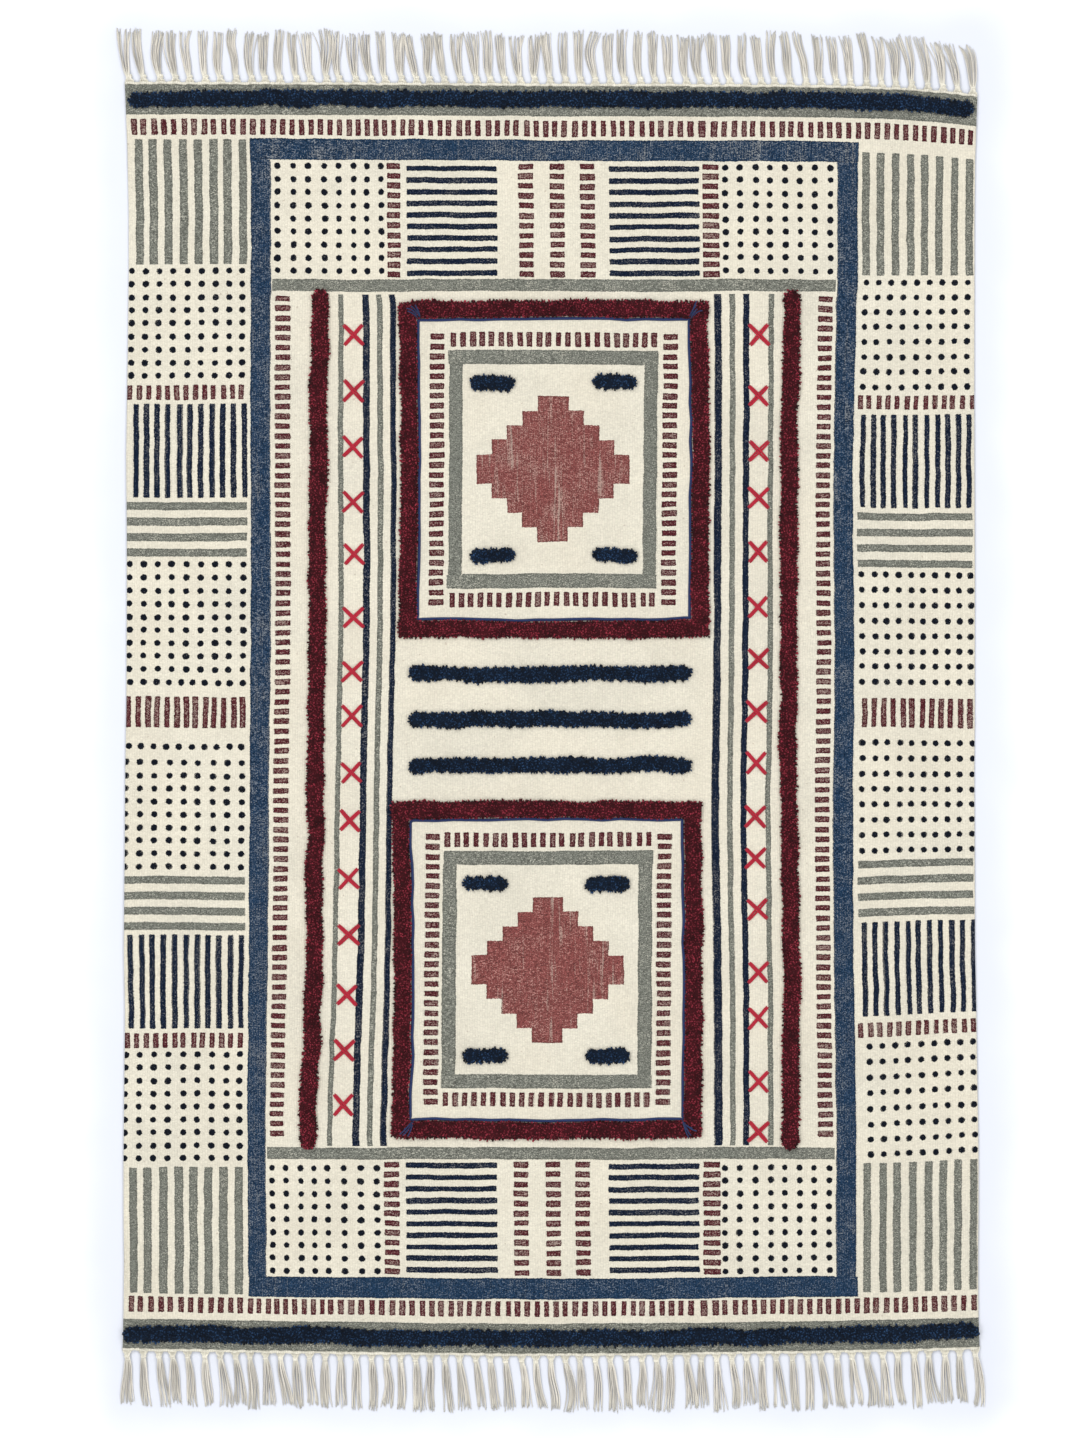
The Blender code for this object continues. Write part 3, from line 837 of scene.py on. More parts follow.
def make_pile_material(name, colour):
    """Cut yarn ends, with painted shade: dark at their roots between the locks, lighter towards their tips,
    with a painted highlight on the tips of the palest locks.
    """
    material, nodes, shader = new_material(name)
    place = nodes.add("ShaderNodeTexCoord").outputs["Object"]
    fibre = nodes.placed(fibre_group(), {"Place": place, "Fibre": 1500.0, "Patch": 60.0})
    reach = nodes.attribute("lock_reach", "Fac")
    own = nodes.attribute("lock_shade", "Fac")
    # Painted shade: the locks darken from their tips down to their roots.
    painted_root_shade = nodes.ramp(reach, 0.1, 0.95, 0.26, 1.0)
    shade = nodes.shaded(painted_root_shade, own, 1.7, 0.18)
    shade = nodes.shaded(shade, fibre["Slow"], 0.5, 0.72)
    shade = nodes.shaded(shade, fibre["Fine"], 0.8, 0.6)
    base = nodes.scale(colour[:], shade)
    # Painted highlight: the tips of the palest locks run towards a much lighter colour.
    pale = nodes.math("MULTIPLY", nodes.ramp(own, 0.86, 1.0), nodes.ramp(reach, 0.6, 1.0))
    base = nodes.mix(nodes.math("MULTIPLY", pale, 0.22), base, rgba(colour, 2.6))
    nodes.feed(shader.inputs["Base Color"], base)
    nodes.feed(shader.inputs["Roughness"], nodes.math("MULTIPLY_ADD", fibre["Fine"], 0.12, 0.8))
    nodes.feed(shader.inputs["Normal"], nodes.bump(fibre["Fine"], 0.8 * MM, 0.9))
    shader.inputs["Specular IOR Level"].default_value = 0.1
    shader.inputs["Sheen Weight"].default_value = 0.04
    return material


def make_yarn_material(name, colour, plies, twist_length, spread, pale=None):
    """Twisted yarn that follows each strand, in one colour or running into a paler one."""
    material, nodes, shader = new_material(name)
    place = nodes.add("ShaderNodeTexCoord").outputs["Object"]
    fibre = nodes.placed(fibre_group(), {"Place": place, "Fibre": 1800.0, "Patch": 30.0})
    strand = nodes.attribute("yarn_place")
    twist = nodes.placed(twist_group(), {"Place": strand, "Plies": plies, "Twist length": twist_length})
    # Painted shade: the yarn is darker in the grooves between its plies.
    shade = nodes.math("MULTIPLY_ADD", twist["Height"], 0.30, 0.76)
    shade = nodes.shaded(shade, twist["Yarn"], spread, 1 - spread / 2)
    shade = nodes.shaded(shade, fibre["Fine"], 0.16, 0.92)
    shade = nodes.shaded(shade, fibre["Slow"], 0.10, 0.95)
    base = nodes.scale(colour[:], shade)
    # The paler colour is the own paler yarn of the knots and the finishing row near the cloth, and a painted
    # highlight towards the tips of the fringe.
    if pale is not None:
        paler = nodes.scale(pale[:], nodes.math("MULTIPLY_ADD", shade, 0.6, 0.4))
        base = nodes.mix(nodes.attribute("pale_yarn_and_highlight", "Fac"), base, paler)
    nodes.feed(shader.inputs["Base Color"], base)
    nodes.feed(shader.inputs["Roughness"], nodes.math("MULTIPLY_ADD", fibre["Fine"], 0.12, 0.76))
    relief = nodes.math("ADD", twist["Height"], nodes.math("MULTIPLY", fibre["Fine"], 0.3))
    nodes.feed(shader.inputs["Normal"], nodes.bump(relief, 0.5 * MM, 0.8))
    shader.inputs["Specular IOR Level"].default_value = 0.25
    shader.inputs["Sheen Weight"].default_value = 0.12
    return material


# The cloth.

FILL = 13.0  # widest step of the cloth's grid, mm
MERGE = 1.6  # grid lines closer than this become one, mm
RIM_STEPS = (0.0, 1.0, 2.5, 5.0)
RIM_ROUND = 2.5 * MM
RIM_THINNEST = 0.24  # the thickness of the very edge, as a share
SELVEDGE_BULGE = 0.35 * MM
SELVEDGE_INSET = 3.0 * MM
SELVEDGE_WIDTH = 2.2 * MM
SHOW_THROUGH = 0.16  # strength of the print on the underside


def grid_lines(limit, marks):
    """Rising places of grid lines from -limit to limit, with one at each mark and no wide gaps."""
    rim = [limit - step for step in RIM_STEPS]
    fixed = rim + [-place for place in rim]
    inner = sorted(mark for mark in marks if abs(mark) < limit - RIM_STEPS[-1] - MERGE)
    kept = []
    for mark in inner:
        if not kept or mark - kept[-1] > MERGE:
            kept.append(mark)
    lines = sorted(fixed + kept)
    filled = [lines[0]]
    for place in lines[1:]:
        steps = math.ceil((place - filled[-1]) / FILL)
        start = filled[-1]
        filled += [start + (place - start) * i / steps for i in range(1, steps + 1)]
    return np.array(filled)


def build_cloth_mesh(blocks, inks):
    """A closed sheet whose grid runs along the blocks of the print, painted and then moved into place."""
    columns = grid_lines(HALF_WIDTH / MM, [edge for block in blocks for edge in block[1][:2]])
    rows = grid_lines(HALF_CLOTH / MM, [edge for block in blocks for edge in block[1][2:]])
    bm = bmesh.new()
    bmesh.ops.create_grid(bm, x_segments=len(columns) - 1, y_segments=len(rows) - 1, size=0.5)
    top = bmesh.ops.extrude_face_region(bm, geom=bm.faces[:])["geom"]
    bmesh.ops.translate(bm, verts=[v for v in top if isinstance(v, bmesh.types.BMVert)], vec=(0, 0, 1))
    bmesh.ops.recalc_face_normals(bm, faces=bm.faces)
    mesh = bpy.data.meshes.new("printed_cloth")
    bm.to_mesh(mesh)
    bm.free()

    places = mesh_points(mesh)
    across = columns[np.rint((places[:, 0] + 0.5) * (len(columns) - 1)).astype(int)]
    along = rows[np.rint((places[:, 1] + 0.5) * (len(rows) - 1)).astype(int)]
    upper = places[:, 2] > 0.5

    paint_cloth(mesh, blocks, inks, across, along, upper)

    # A rounded rim, a slightly thicker selvedge and the rise of the floor.
    inset_x = HALF_WIDTH - np.abs(across) * MM
    inset_y = HALF_CLOTH - np.abs(along) * MM
    inset = np.minimum(inset_x, inset_y)
    share = np.clip(1 - inset / RIM_ROUND, 0.0, 1.0)
    roundness = RIM_THINNEST + (1 - RIM_THINNEST) * np.sqrt(1 - share**2)
    bulge = SELVEDGE_BULGE * np.exp(-(((inset_x - SELVEDGE_INSET) / SELVEDGE_WIDTH) ** 2))
    half = CLOTH_THICKNESS / 2 * roundness + bulge / 2
    x, y = rug_place(across * MM, along * MM)
    z = CLOTH_THICKNESS / 2 + bulge / 2 + np.where(upper, half, -half) + rise(x, y)
    placed = np.stack((x + MIDDLE[0], y + MIDDLE[1], z), axis=1).astype(np.float32)
    mesh.vertices.foreach_set("co", placed.ravel())
    mesh.polygons.foreach_set("use_smooth", np.ones(len(mesh.polygons), bool))
    mesh.update()
    return mesh


def paint_cloth(mesh, blocks, inks, across, along, upper):
    """Writes which block each face belongs to, and where in it each corner lies."""
    corners = np.empty(len(mesh.loops), np.int32)
    mesh.loops.foreach_get("vertex_index", corners)
    corners = corners.reshape(-1, 4)
    middle_x = across[corners].mean(axis=1)
    middle_y = along[corners].mean(axis=1)
    face_up = upper[corners].mean(axis=1)
    owner = np.full(len(corners), -1)
    for i, (_, (left, right, near, far), *_) in enumerate(blocks):
        inside = (middle_x > left) & (middle_x < right) & (middle_y > near) & (middle_y < far)
        owner[inside] = i
    side_wall = (face_up > 0.2) & (face_up < 0.8)
    owner[side_wall] = -1
    # One row of values for each block, after the one for bare cloth, whose ink has no strength:
    # start, pitch and half size, each in X and Y, then roundness, step, colour and the ink's own five.
    rows = [(0.0, 0.0, 1.0, 1.0, 0.001, 0.001, 0.0, 0.0, 0.5, 0.5, 0.5, 0.0, 0.0, 0.0, 0.0, 0.0)]
    for ink, _, start, pitch, half, roundness, stepped in blocks:
        lengths = (*start, *pitch, *half, roundness, stepped)
        rows.append((*(value * MM for value in lengths), *inks[ink], *INKS[ink]))
    table = np.array(rows)[owner + 1]
    show_through = np.where(face_up > 0.8, 1.0, SHOW_THROUGH)
    spots = np.empty((len(corners), 4, 3))
    spots[:, :, 0] = across[corners] * MM - table[:, 0, None]
    spots[:, :, 1] = along[corners] * MM - table[:, 1, None]
    spots[:, :, 2] = owner[:, None]
    empty = np.zeros(len(corners))
    set_attribute(mesh, "print_place", "FLOAT_VECTOR", "CORNER", spots)
    faces = {
        "print_pitch": np.stack((table[:, 2], table[:, 3], empty), axis=1),
        "print_half": table[:, 4:7],
        "print_ink": table[:, 8:11],
        "print_wear": np.stack((table[:, 11] * show_through, table[:, 12], table[:, 13]), axis=1),
        "print_edge": np.stack((table[:, 14], table[:, 15], empty), axis=1),
    }
    for name, values in faces.items():
        set_attribute(mesh, name, "FLOAT_VECTOR", "CORNER", np.repeat(values, 4, axis=0))
    set_attribute(mesh, "print_stepped", "FLOAT", "CORNER", np.repeat(table[:, 7], 4))


# The cut pile.

MAROON_LINES = ("side_line_left", "side_line_right") + tuple(
    f"panel_{panel}_frame_{side}" for panel in ("far", "near") for side in ("far", "near", "left", "right")
)
NAVY_LINES = (
    ("end_line_far", "end_line_near", "long_bar_far", "long_bar_middle", "long_bar_near")
    + tuple(
        f"panel_{panel}_bar_{end}_{side}"
        for panel in ("far", "near")
        for end in ("far", "near")
        for side in ("left", "right")
    )
)


RING_GAP = 4 * MM  # points of the part nearer than this along a line belong to one ring


def read_course(node):
    """The course of a line of pile in the part: places along it, its middle and half its width there."""
    points = node_points(node)
    spans = points.max(axis=0) - points.min(axis=0)
    axis = 0 if spans[0] > spans[1] else 1
    order = points[np.argsort(points[:, axis])]
    breaks = np.nonzero(np.diff(order[:, axis]) > RING_GAP)[0] + 1
    rings = np.split(order, breaks)
    along = np.array([(ring[:, axis].min() + ring[:, axis].max()) / 2 for ring in rings])
    low = np.array([ring[:, 1 - axis].min() for ring in rings])
    high = np.array([ring[:, 1 - axis].max() for ring in rings])
    return axis, along, (low + high) / 2, (high - low) / 2


def smooth_chance(chance, places, step, spread):
    """Smooth seeded wander at the given places, with a new value about every step."""
    knots = np.arange(places.min() - step, places.max() + 2 * step, step)
    values = chance.uniform(-spread, spread, len(knots))
    at = np.clip(np.searchsorted(knots, places) - 1, 0, len(knots) - 2)
    share = (places - knots[at]) / step
    share = share * share * (3 - 2 * share)
    return values[at] * (1 - share) + values[at + 1] * share


CORE_STEP = 2.0 * MM
CORE_HEIGHT = 4.8 * MM
CORE_INSET = 0.9 * MM  # from the edge of the pile
# Painted shade: with a low reach and a low shade, the core is as dark as the roots of the locks.
CORE_SHADE, CORE_REACH = 0.4, 0.25  # its values for the material, which the locks have too
CORE_SECTION = (
    # place across as a share of the reach, height as a share of the core's height
    (-1.0, 0.0),
    (-0.92, 0.55),
    (-0.6, 0.93),
    (0.0, 1.0),
    (0.6, 0.93),
    (0.92, 0.55),
    (1.0, 0.0),
    (0.0, -0.15),
)


def scallops(chance, places, step, depth):
    """Lumps of uneven width side by side: 0 at the middle of each, and down to -depth between them."""
    widths = chance.uniform(0.7, 1.35, int(np.ptp(places) / step / 0.7) + 2) * step
    bounds = places.min() + np.concatenate(([0.0], np.cumsum(widths)))
    at = np.clip(np.searchsorted(bounds, places, side="right") - 1, 0, len(widths) - 1)
    depths = chance.uniform(0.4, 1.0, len(widths)) * depth
    return -depths[at] * (2 * (places - bounds[at]) / widths[at] - 1) ** 2


# How far the far end line drops towards its left end: places along it, and shifts across it.
END_LINE_DROP = ((-0.60, -0.53, -0.42), (-5.5 * MM, -2.5 * MM, 0.0))
# The side of each frame line that faces the middle of its panel: the sign of the way there.
INNER_SIDES = {"left": 1, "right": -1, "far": -1, "near": 1}
# How far a line runs on past the part's, how it sways, and how wide it still is at its very end.
OPEN_LINE = (0.0, 1.6 * MM, 0.40)
FRAME_ACROSS = (0.0, 0.5 * MM, 0.85)
FRAME_ALONG = (9 * MM, 0.5 * MM, 1.0)
PART_TAPER = 12 * MM  # the part's own taper at the end of a line, which isn't followed
TIP_LENGTH = 10 * MM
# Length of the lumps along the edge of a line, and depth of the notches between them.
MAROON_LUMP = (7 * MM, 2.8 * MM)
NAVY_LUMP = (13 * MM, 4.2 * MM)
EDGE_SWAY = (24 * MM, 1.1 * MM)  # length and depth of the slow changes of width
CALM = 0.3  # of all that on the inner side of a frame


def pile_course(node, chance):
    """Stations along a line of pile, with its middle and its reach to both sides at each of them."""
    axis, line, middle, half = read_course(node)
    in_frame = "_frame_" in node
    inner_side = INNER_SIDES[node.rsplit("_", 1)[1]] if in_frame else 0
    frame_line = FRAME_ALONG if axis == 1 else FRAME_ACROSS
    overlap, sway, blunt = frame_line if in_frame else OPEN_LINE
    start, stop = line[0] - overlap, line[-1] + overlap
    stations = np.linspace(start, stop, round((stop - start) / CORE_STEP) + 1)
    inner = np.clip(stations, line[0] + PART_TAPER, line[-1] - PART_TAPER)
    course = np.interp(inner, line, middle) + smooth_chance(chance, stations, 50 * MM, sway)
    if node == "end_line_far":
        course += np.interp(stations, *END_LINE_DROP)
    to_end = np.minimum(stations - start, stop - stations)
    tip = np.sqrt(np.clip(1 - np.clip(1 - to_end / TIP_LENGTH, 0, 1) ** 2, blunt, 1))
    reaches = []
    lump = MAROON_LUMP if node in MAROON_LINES else NAVY_LUMP
    for outward in (-1, 1):
        lumps = scallops(chance, stations, *lump) + smooth_chance(chance, stations, *EDGE_SWAY)
        lumps *= CALM if outward == inner_side else 1.0
        reaches.append(np.interp(inner, line, half) * tip + lumps)
    return axis, stations, course, reaches, inner_side


def core_arrays(axis, stations, course, reaches):
    """A low closed core with the outline of the pile, which fills it between its locks."""
    across, height = np.array(CORE_SECTION).T
    reach = np.where(across < 0, reaches[0][:, None], reaches[1][:, None]) - CORE_INSET
    points = np.empty((len(stations), len(across), 3))
    points[:, :, axis] = stations[:, None]
    points[:, :, 1 - axis] = course[:, None] + across * reach
    points[:, :, 2] = CLOTH_THICKNESS + height * CORE_HEIGHT
    index = np.arange(points.size // 3).reshape(len(stations), -1)
    after = np.roll(index, -1, axis=1)
    quads = np.stack((index[:-1], index[1:], after[1:], after[:-1]), axis=-1).reshape(-1, 4)
    caps = np.stack((index[0], index[-1, ::-1]))
    if axis == 1:
        quads, caps = quads[:, ::-1], caps[:, ::-1]
    return points.reshape(-1, 3), quads, caps


LOCK_JITTER = 0.48  # of the pitch
OUTER_JITTER = 0.3  # of that, across the line, for the outermost locks
TUFT_JITTER = (0.25, 0.2)  # of a tuft along and across, in tufts
LOCK_INSET = 1.7 * MM  # of the outermost locks from the edge of the line
LOCK_SINK = 0.4 * MM  # of the roots into the cloth
FLOW_LENGTH = 14 * MM  # of the slow changes of lean along a line
STRAY_SHARE = 0.32  # of the outermost locks, which stick out
END_LEAN_LENGTH = 12 * MM  # of the part at the end of a line where the locks lean outwards
LOCK_DROOP = 0.16
LOCK_SIDES = 3
LOCK_HEIGHTS = (0.0, 0.55, 1.0)  # of the three rings of a lock
LOCK_WIDTHS = (0.85, 1.1, 0.7)


def sow_locks(stations, reaches, settings, chance):
    """Where the locks stand along and across a line, and what tuft each is in and how far off its middle.

    Locks stand together in tufts, each a low dome with a lean and a shade of its own.
    """
    length = stations[-1] - stations[0]
    width = 2 * np.mean(reaches)
    steps_along = int(length / settings.lock_pitch)
    steps_across = max(4, round(width / settings.lock_pitch))
    t, s = np.meshgrid(np.arange(steps_along) + 0.5, np.arange(steps_across) + 0.5, indexing="ij")
    t, s = t.ravel(), s.ravel()
    outermost = (s < 1) | (s > steps_across - 1)
    t = t + chance.uniform(-LOCK_JITTER, LOCK_JITTER, t.size)
    s = s + chance.uniform(-LOCK_JITTER, LOCK_JITTER, s.size) * np.where(outermost, OUTER_JITTER, 1.0)
    along = stations[0] + t / steps_along * length
    side = (2 * s / steps_across - 1) * steps_across / (steps_across - 1)

    tuft_rows = max(2, round(length / settings.tuft))
    tuft_columns = max(2, round(width / settings.tuft))
    row = np.clip((t / steps_along * tuft_rows).astype(int), 0, tuft_rows - 1)
    stagger = 0.5 * (row % 2)
    column = (s / steps_across * tuft_columns + stagger).astype(int).clip(0, tuft_columns)
    tufts = chance.uniform(-1, 1, (tuft_rows, tuft_columns + 1, 5))[row, column]
    tuft_along = stations[0] + (row + 0.5 + TUFT_JITTER[0] * tufts[:, 0]) / tuft_rows * length
    tuft_side = 2 * (column + 0.5 - stagger + TUFT_JITTER[1] * tufts[:, 1]) / tuft_columns - 1
    off_along = (along - tuft_along) / (settings.tuft / 2)
    off_across = (side - tuft_side) * width / settings.tuft
    return along, side, outermost, tufts, off_along, off_across


def line_vectors(axis, along, across, up):
    """Vectors from their parts along and across a line of pile that runs along the given axis."""
    vectors = np.empty((len(along), 3))
    vectors[:, axis] = along
    vectors[:, 1 - axis] = across
    vectors[:, 2] = up
    return vectors


def lock_arrays(spine, radius, turns):
    """Short closed locks around their spines of three points each."""
    level = np.zeros((len(spine), LOCK_SIDES, 3))
    level[:, :, 0] = np.cos(turns)
    level[:, :, 1] = np.sin(turns)
    rings = level[:, None, :, :] * radius[:, None, None, None] * np.array(LOCK_WIDTHS)[None, :, None, None]
    points = (spine[:, :, None, :] + rings).reshape(-1, 3)
    quads, caps = ring_faces(len(spine), len(LOCK_WIDTHS), LOCK_SIDES)
    return points, quads.reshape(-1, 4), caps


def build_pile_mesh(node, settings, number):
    """Locks of cut yarn over a low core, standing in tufts and leaning out at the sides."""
    chance = np.random.default_rng(100 + number)
    axis, stations, course, reaches, inner_side = pile_course(node, chance)
    core, core_quads, core_caps = core_arrays(axis, stations, course, reaches)
    along, side, outermost, tufts, off_along, off_across = sow_locks(stations, reaches, settings, chance)
    count = along.size
    away = np.clip(np.hypot(off_along, off_across), 0, 1.5)
    reach = np.where(side < 0, *(np.interp(along, stations, reach) for reach in reaches))
    across = np.interp(along, stations, course) + side * (reach - LOCK_INSET)

    # Each lock leans out of its tuft and of the line, and a little by itself.
    flow = smooth_chance(chance, along, FLOW_LENGTH, 1.0)
    lean_across = 0.20 * side + 0.14 * off_across + 0.12 * tufts[:, 2] + chance.normal(0, 0.035, count)
    stray = outermost & (chance.random(count) < STRAY_SHARE) & (np.sign(side) != inner_side)
    lean_across += stray * chance.uniform(0.2, 0.5, count) * np.sign(side)
    from_start, from_stop = along - stations[0], stations[-1] - along
    at_end = np.clip(1 - np.minimum(from_start, from_stop) / END_LEAN_LENGTH, 0, 1)
    lean_along = 0.14 * off_along + 0.2 * flow + 0.12 * tufts[:, 3] + chance.normal(0, 0.05, count)
    lean_along += 0.25 * np.where(from_start < from_stop, -1.0, 1.0) * at_end
    lock = settings.lock_length * (1.04 - 0.16 * away) * (1 - 0.22 * side**4)
    lock *= chance.uniform(0.92, 1.08, count)

    root = line_vectors(axis, along, across, CLOTH_THICKNESS - LOCK_SINK)
    direction = line_vectors(axis, lean_along, lean_across, 1.0)
    direction *= (lock / np.linalg.norm(direction, axis=1))[:, None]
    droop = line_vectors(axis, lean_along, lean_across, 0.0) * (LOCK_DROOP / 2 * lock)[:, None]
    bend = root + direction * LOCK_HEIGHTS[1] - droop
    spine = np.stack((root, bend, root + direction), axis=1)
    radius = settings.lock_radius * chance.uniform(0.8, 1.2, count)
    around = np.arange(LOCK_SIDES) * 2 * math.pi / LOCK_SIDES
    turns = chance.uniform(0, 2 * math.pi, count)[:, None] + around
    locks, quads, caps = lock_arrays(spine, radius, turns)

    points = np.concatenate((core, locks))
    local = points[:, :2] - MIDDLE
    points[:, 2] += rise(local[:, 0], local[:, 1])
    points[:, 0] += flare(local[:, 0], local[:, 1])
    face_sets = [np.concatenate((core_quads, quads + len(core))), caps + len(core), core_caps]
    mesh = mesh_from_arrays(node + "_pile", points, face_sets)
    # Each lock takes its tuft's tone and a tone of its own at random, and is darker the farther it stands
    # from its tuft's middle: painted shade in the crevices between tufts.
    shade = np.clip(0.64 - 0.26 * away + 0.34 * tufts[:, 4] + chance.normal(0, 0.32, count), 0, 1)
    shades = np.repeat(shade, LOCK_SIDES * len(LOCK_HEIGHTS))
    heights = np.tile(np.repeat(LOCK_HEIGHTS, LOCK_SIDES), count)
    for name, of_core, of_locks in (("lock_shade", CORE_SHADE, shades), ("lock_reach", CORE_REACH, heights)):
        values = np.concatenate((np.full(len(core), of_core), of_locks))
        set_attribute(mesh, name, "FLOAT", "POINT", values)
    return mesh


# The fringe. Its bundles repeat the rule of the part, with the same seeds.

BUNDLES = 57
FIRST_BUNDLE_INSET = 6.5 * MM
FRINGE_LENGTH = 73 * MM
FRINGE_LENGTH_SPREAD = 4 * MM
ROOT_SPREAD = 1.6 * MM
LEAN_SPREAD = 2.2 * MM
BOW_SPREAD = 1.6 * MM
DRIFT = 3.0 * MM
DRIFT_WAVES = 2.6
PART_COLUMNS = {FAR: 1, NEAR: 2}  # the numbers that the part seeds each end with
KNOT_SHARE = 0.075  # where the knot is, as a share of the length
STRAND_SHARES = (-0.075, 0.0, 0.035, KNOT_SHARE, 0.12, *np.linspace(0.18, 1.0, 9))
# Shares of the length, and in mm there: half the width of a bundle, the height of its middle, and
# how far its two layers lie above and below that.
BUNDLE_WIDTH = (
    (-0.075, 0.0, 0.035, 0.075, 0.12, 0.22, 0.45, 0.75, 1.0),
    (7.2, 5.8, 3.8, 2.6, 3.1, 4.7, 5.8, 6.5, 7.4),
)
BUNDLE_HEIGHT = ((-0.075, 0.0, 0.075, 0.15, 0.4, 1.0), (1.5, 1.6, 2.5, 2.1, 1.5, 1.05))
LAYER_HEIGHT = ((-0.075, 0.0, 0.075, 0.15, 0.5, 1.0), (0.3, 0.5, 1.2, 1.0, 0.65, 0.3))
FREE_FROM = 0.12  # share of the length from which the yarns lie freely
CORNER_FROM, CORNER_RUN = 0.585, 0.01  # the bundle at each corner of the rug fans out more
SWEPT_FROM, SWEPT_RUN = 0.30, 0.30  # the far fringe is swept aside more and more towards its right end
PARTED_SHARE = 0.3  # of the bundles, which lie parted in two
STRAY_YARNS = 0.08  # share of the yarns that stray far
# How pale the fringe yarn is with distance out from the cloth: its own paler yarn at the knots and the
# finishing row, and a painted highlight towards the tips.
PALE_YARN_AND_HIGHLIGHT = (np.array((6, 18, 48, 76)) * MM, (1.0, 0.15, 0.1, 0.6))  # places out from the cloth, and how pale


def end_edge(x, end):
    """Y of the outer edge of the finishing strip."""
    return edge_place(END_NAMES[end], x) + end * (STRIP_WIDTH + GAP)


def bundle_courses(end):
    """Root, length, lean and bow of each bundle of one fringe."""
    column = PART_COLUMNS[end]
    places = EDGES[END_NAMES[end]][0]
    first, last = places[0] + FIRST_BUNDLE_INSET, places[-1] - FIRST_BUNDLE_INSET
    pitch = (last - first) / (BUNDLES - 1)
    roots = random.Random(column)
    courses = []
    for i in range(BUNDLES):
        jitter = roots.uniform(-ROOT_SPREAD, ROOT_SPREAD) if 0 < i < BUNDLES - 1 else 0.0
        root = first + i * pitch + jitter
        own = random.Random(1000 * column + i)
        length = FRINGE_LENGTH + own.uniform(-FRINGE_LENGTH_SPREAD, FRINGE_LENGTH_SPREAD)
        sway = math.sin(DRIFT_WAVES * math.pi * root / HALF_WIDTH + column)
        lean = own.uniform(-LEAN_SPREAD, LEAN_SPREAD) + DRIFT * sway
        bow = own.uniform(-BOW_SPREAD, BOW_SPREAD)
        courses.append((root, length, lean, bow))
    return courses


def seeded_wave(chance, shares, size, low, high):
    """A wave along a strand, with a seeded number of turns between low and high and a seeded start."""
    return size * np.sin(2 * math.pi * (chance.uniform(low, high) * shares + chance.random()))


def strand_paths(end, settings):
    """The yarns of every bundle, from under the finishing row through the knot to the tips."""
    chance = np.random.default_rng(7 if end == FAR else 8)
    shares = np.array(STRAND_SHARES)
    spread = np.interp(shares, *BUNDLE_WIDTH)
    heights = np.interp(shares, *BUNDLE_HEIGHT)
    stack = np.interp(shares, *LAYER_HEIGHT)
    free = np.clip(shares - FREE_FROM, 0, 1)
    held = np.clip(shares, 0, 1)
    # The far bundles come out of their knots to the left, and the near ones drift to the right.
    drift = -6.0 * (1 - np.exp(-held / 0.22)) if end == FAR else 5.0 * held
    lengths = (0.91, 1.01) if end == FAR else (0.98, 1.08)
    paths, radii = [], []
    for root, length, lean, bow in bundle_courses(end):
        fan = chance.uniform(0.78, 1.2) + 0.35 * np.clip((abs(root) - CORNER_FROM) / CORNER_RUN, 0, 1)
        sway = seeded_wave(chance, shares, chance.normal(0, 2.8), 0.45, 0.9)
        sway = (sway - sway[0]) * free + drift
        if end == FAR:
            swept = np.clip((root - SWEPT_FROM) / SWEPT_RUN, 0, 1)
            sway = sway + swept * (5.0 * np.sin(math.pi * held) - 9.0 * held**2)
        parted = chance.uniform(1.5, 3.0) if chance.random() < PARTED_SHARE else 0.0
        for i in range(settings.strands):
            even = (i + 0.5) / settings.strands * 2 - 1
            rank = np.interp(shares, (0.1, 0.3), (even, even + chance.uniform(-0.2, 0.2)))
            layer = 1.0 if i % 2 else -1.0
            wave = seeded_wave(chance, shares, chance.uniform(0.3, 1.7), 0.4, 1.2)
            stray = chance.normal(0, 5.0 if chance.random() < STRAY_YARNS else 1.2) * free**1.4
            parting = math.copysign(parted, even + 0.2) * free
            own = rank * spread * (1 + (fan - 1) * free) + wave * free + stray + parting + sway
            x = root + lean * shares + bow * np.sin(math.pi * held) + own * MM
            y = end_edge(root, end) + end * shares * (length * chance.uniform(*lengths))
            z = (heights + layer * stack + 0.35 * np.sin(9 * shares + 5 * even) * free) * MM
            z = np.maximum(z, settings.strand_radius)
            paths.append(np.stack((x, y, z), axis=1))
            taper = np.interp(shares, (0.85, 1.0), (1.0, 0.55))
            radii.append(settings.strand_radius * chance.uniform(0.8, 1.12) * taper)
    return np.array(paths), np.array(radii)


KNOT_RADIUS = 0.95 * MM  # of its yarn
KNOT_LAP = 1.06  # turns that each of its yarns makes
KNOT_STEP = 1.5  # from one turn to the next, mm
KNOT_HEIGHT = 2.75  # of its middle, mm
OUTER_TURN = 0.86  # width of its first and last turn


def knot_paths(end):
    """Three tight turns of yarn round each bundle."""
    chance = np.random.default_rng(17 if end == FAR else 18)
    angles = np.linspace(0, 2 * math.pi * KNOT_LAP, 12)
    paths = []
    for root, length, lean, _ in bundle_courses(end):
        for turn in (-1, 0, 1):
            slant = chance.uniform(-0.5, 0.5) + 0.9
            wide = chance.uniform(3.0, 3.7) * (1.0 if turn == 0 else OUTER_TURN)
            middle = root + lean * KNOT_SHARE + chance.uniform(-0.3, 0.3) * MM
            x = middle + wide * MM * np.cos(angles)
            out = KNOT_SHARE * length + (turn * KNOT_STEP + slant * np.sin(angles)) * MM
            y = end_edge(root, end) + end * out
            z = (KNOT_HEIGHT + (1.75 if turn == 0 else 1.5) * np.sin(angles)) * MM
            paths.append(np.stack((x, y, z), axis=1))
    paths = np.array(paths)
    return paths, np.full(paths.shape[:2], KNOT_RADIUS)


ROW_TURN = 4.6 * MM  # length of one turn of the finishing row
ROW_INSET = 3.9 * MM  # of its middle from the outer edge of the strip
ROW_PULL = (0.9 * MM, 4.5 * MM)  # how far a knot draws it out, and over what width
ROW_OFF = 1.15 * MM  # of each of its two yarns from their middle
ROW_RADIUS = 1.1 * MM


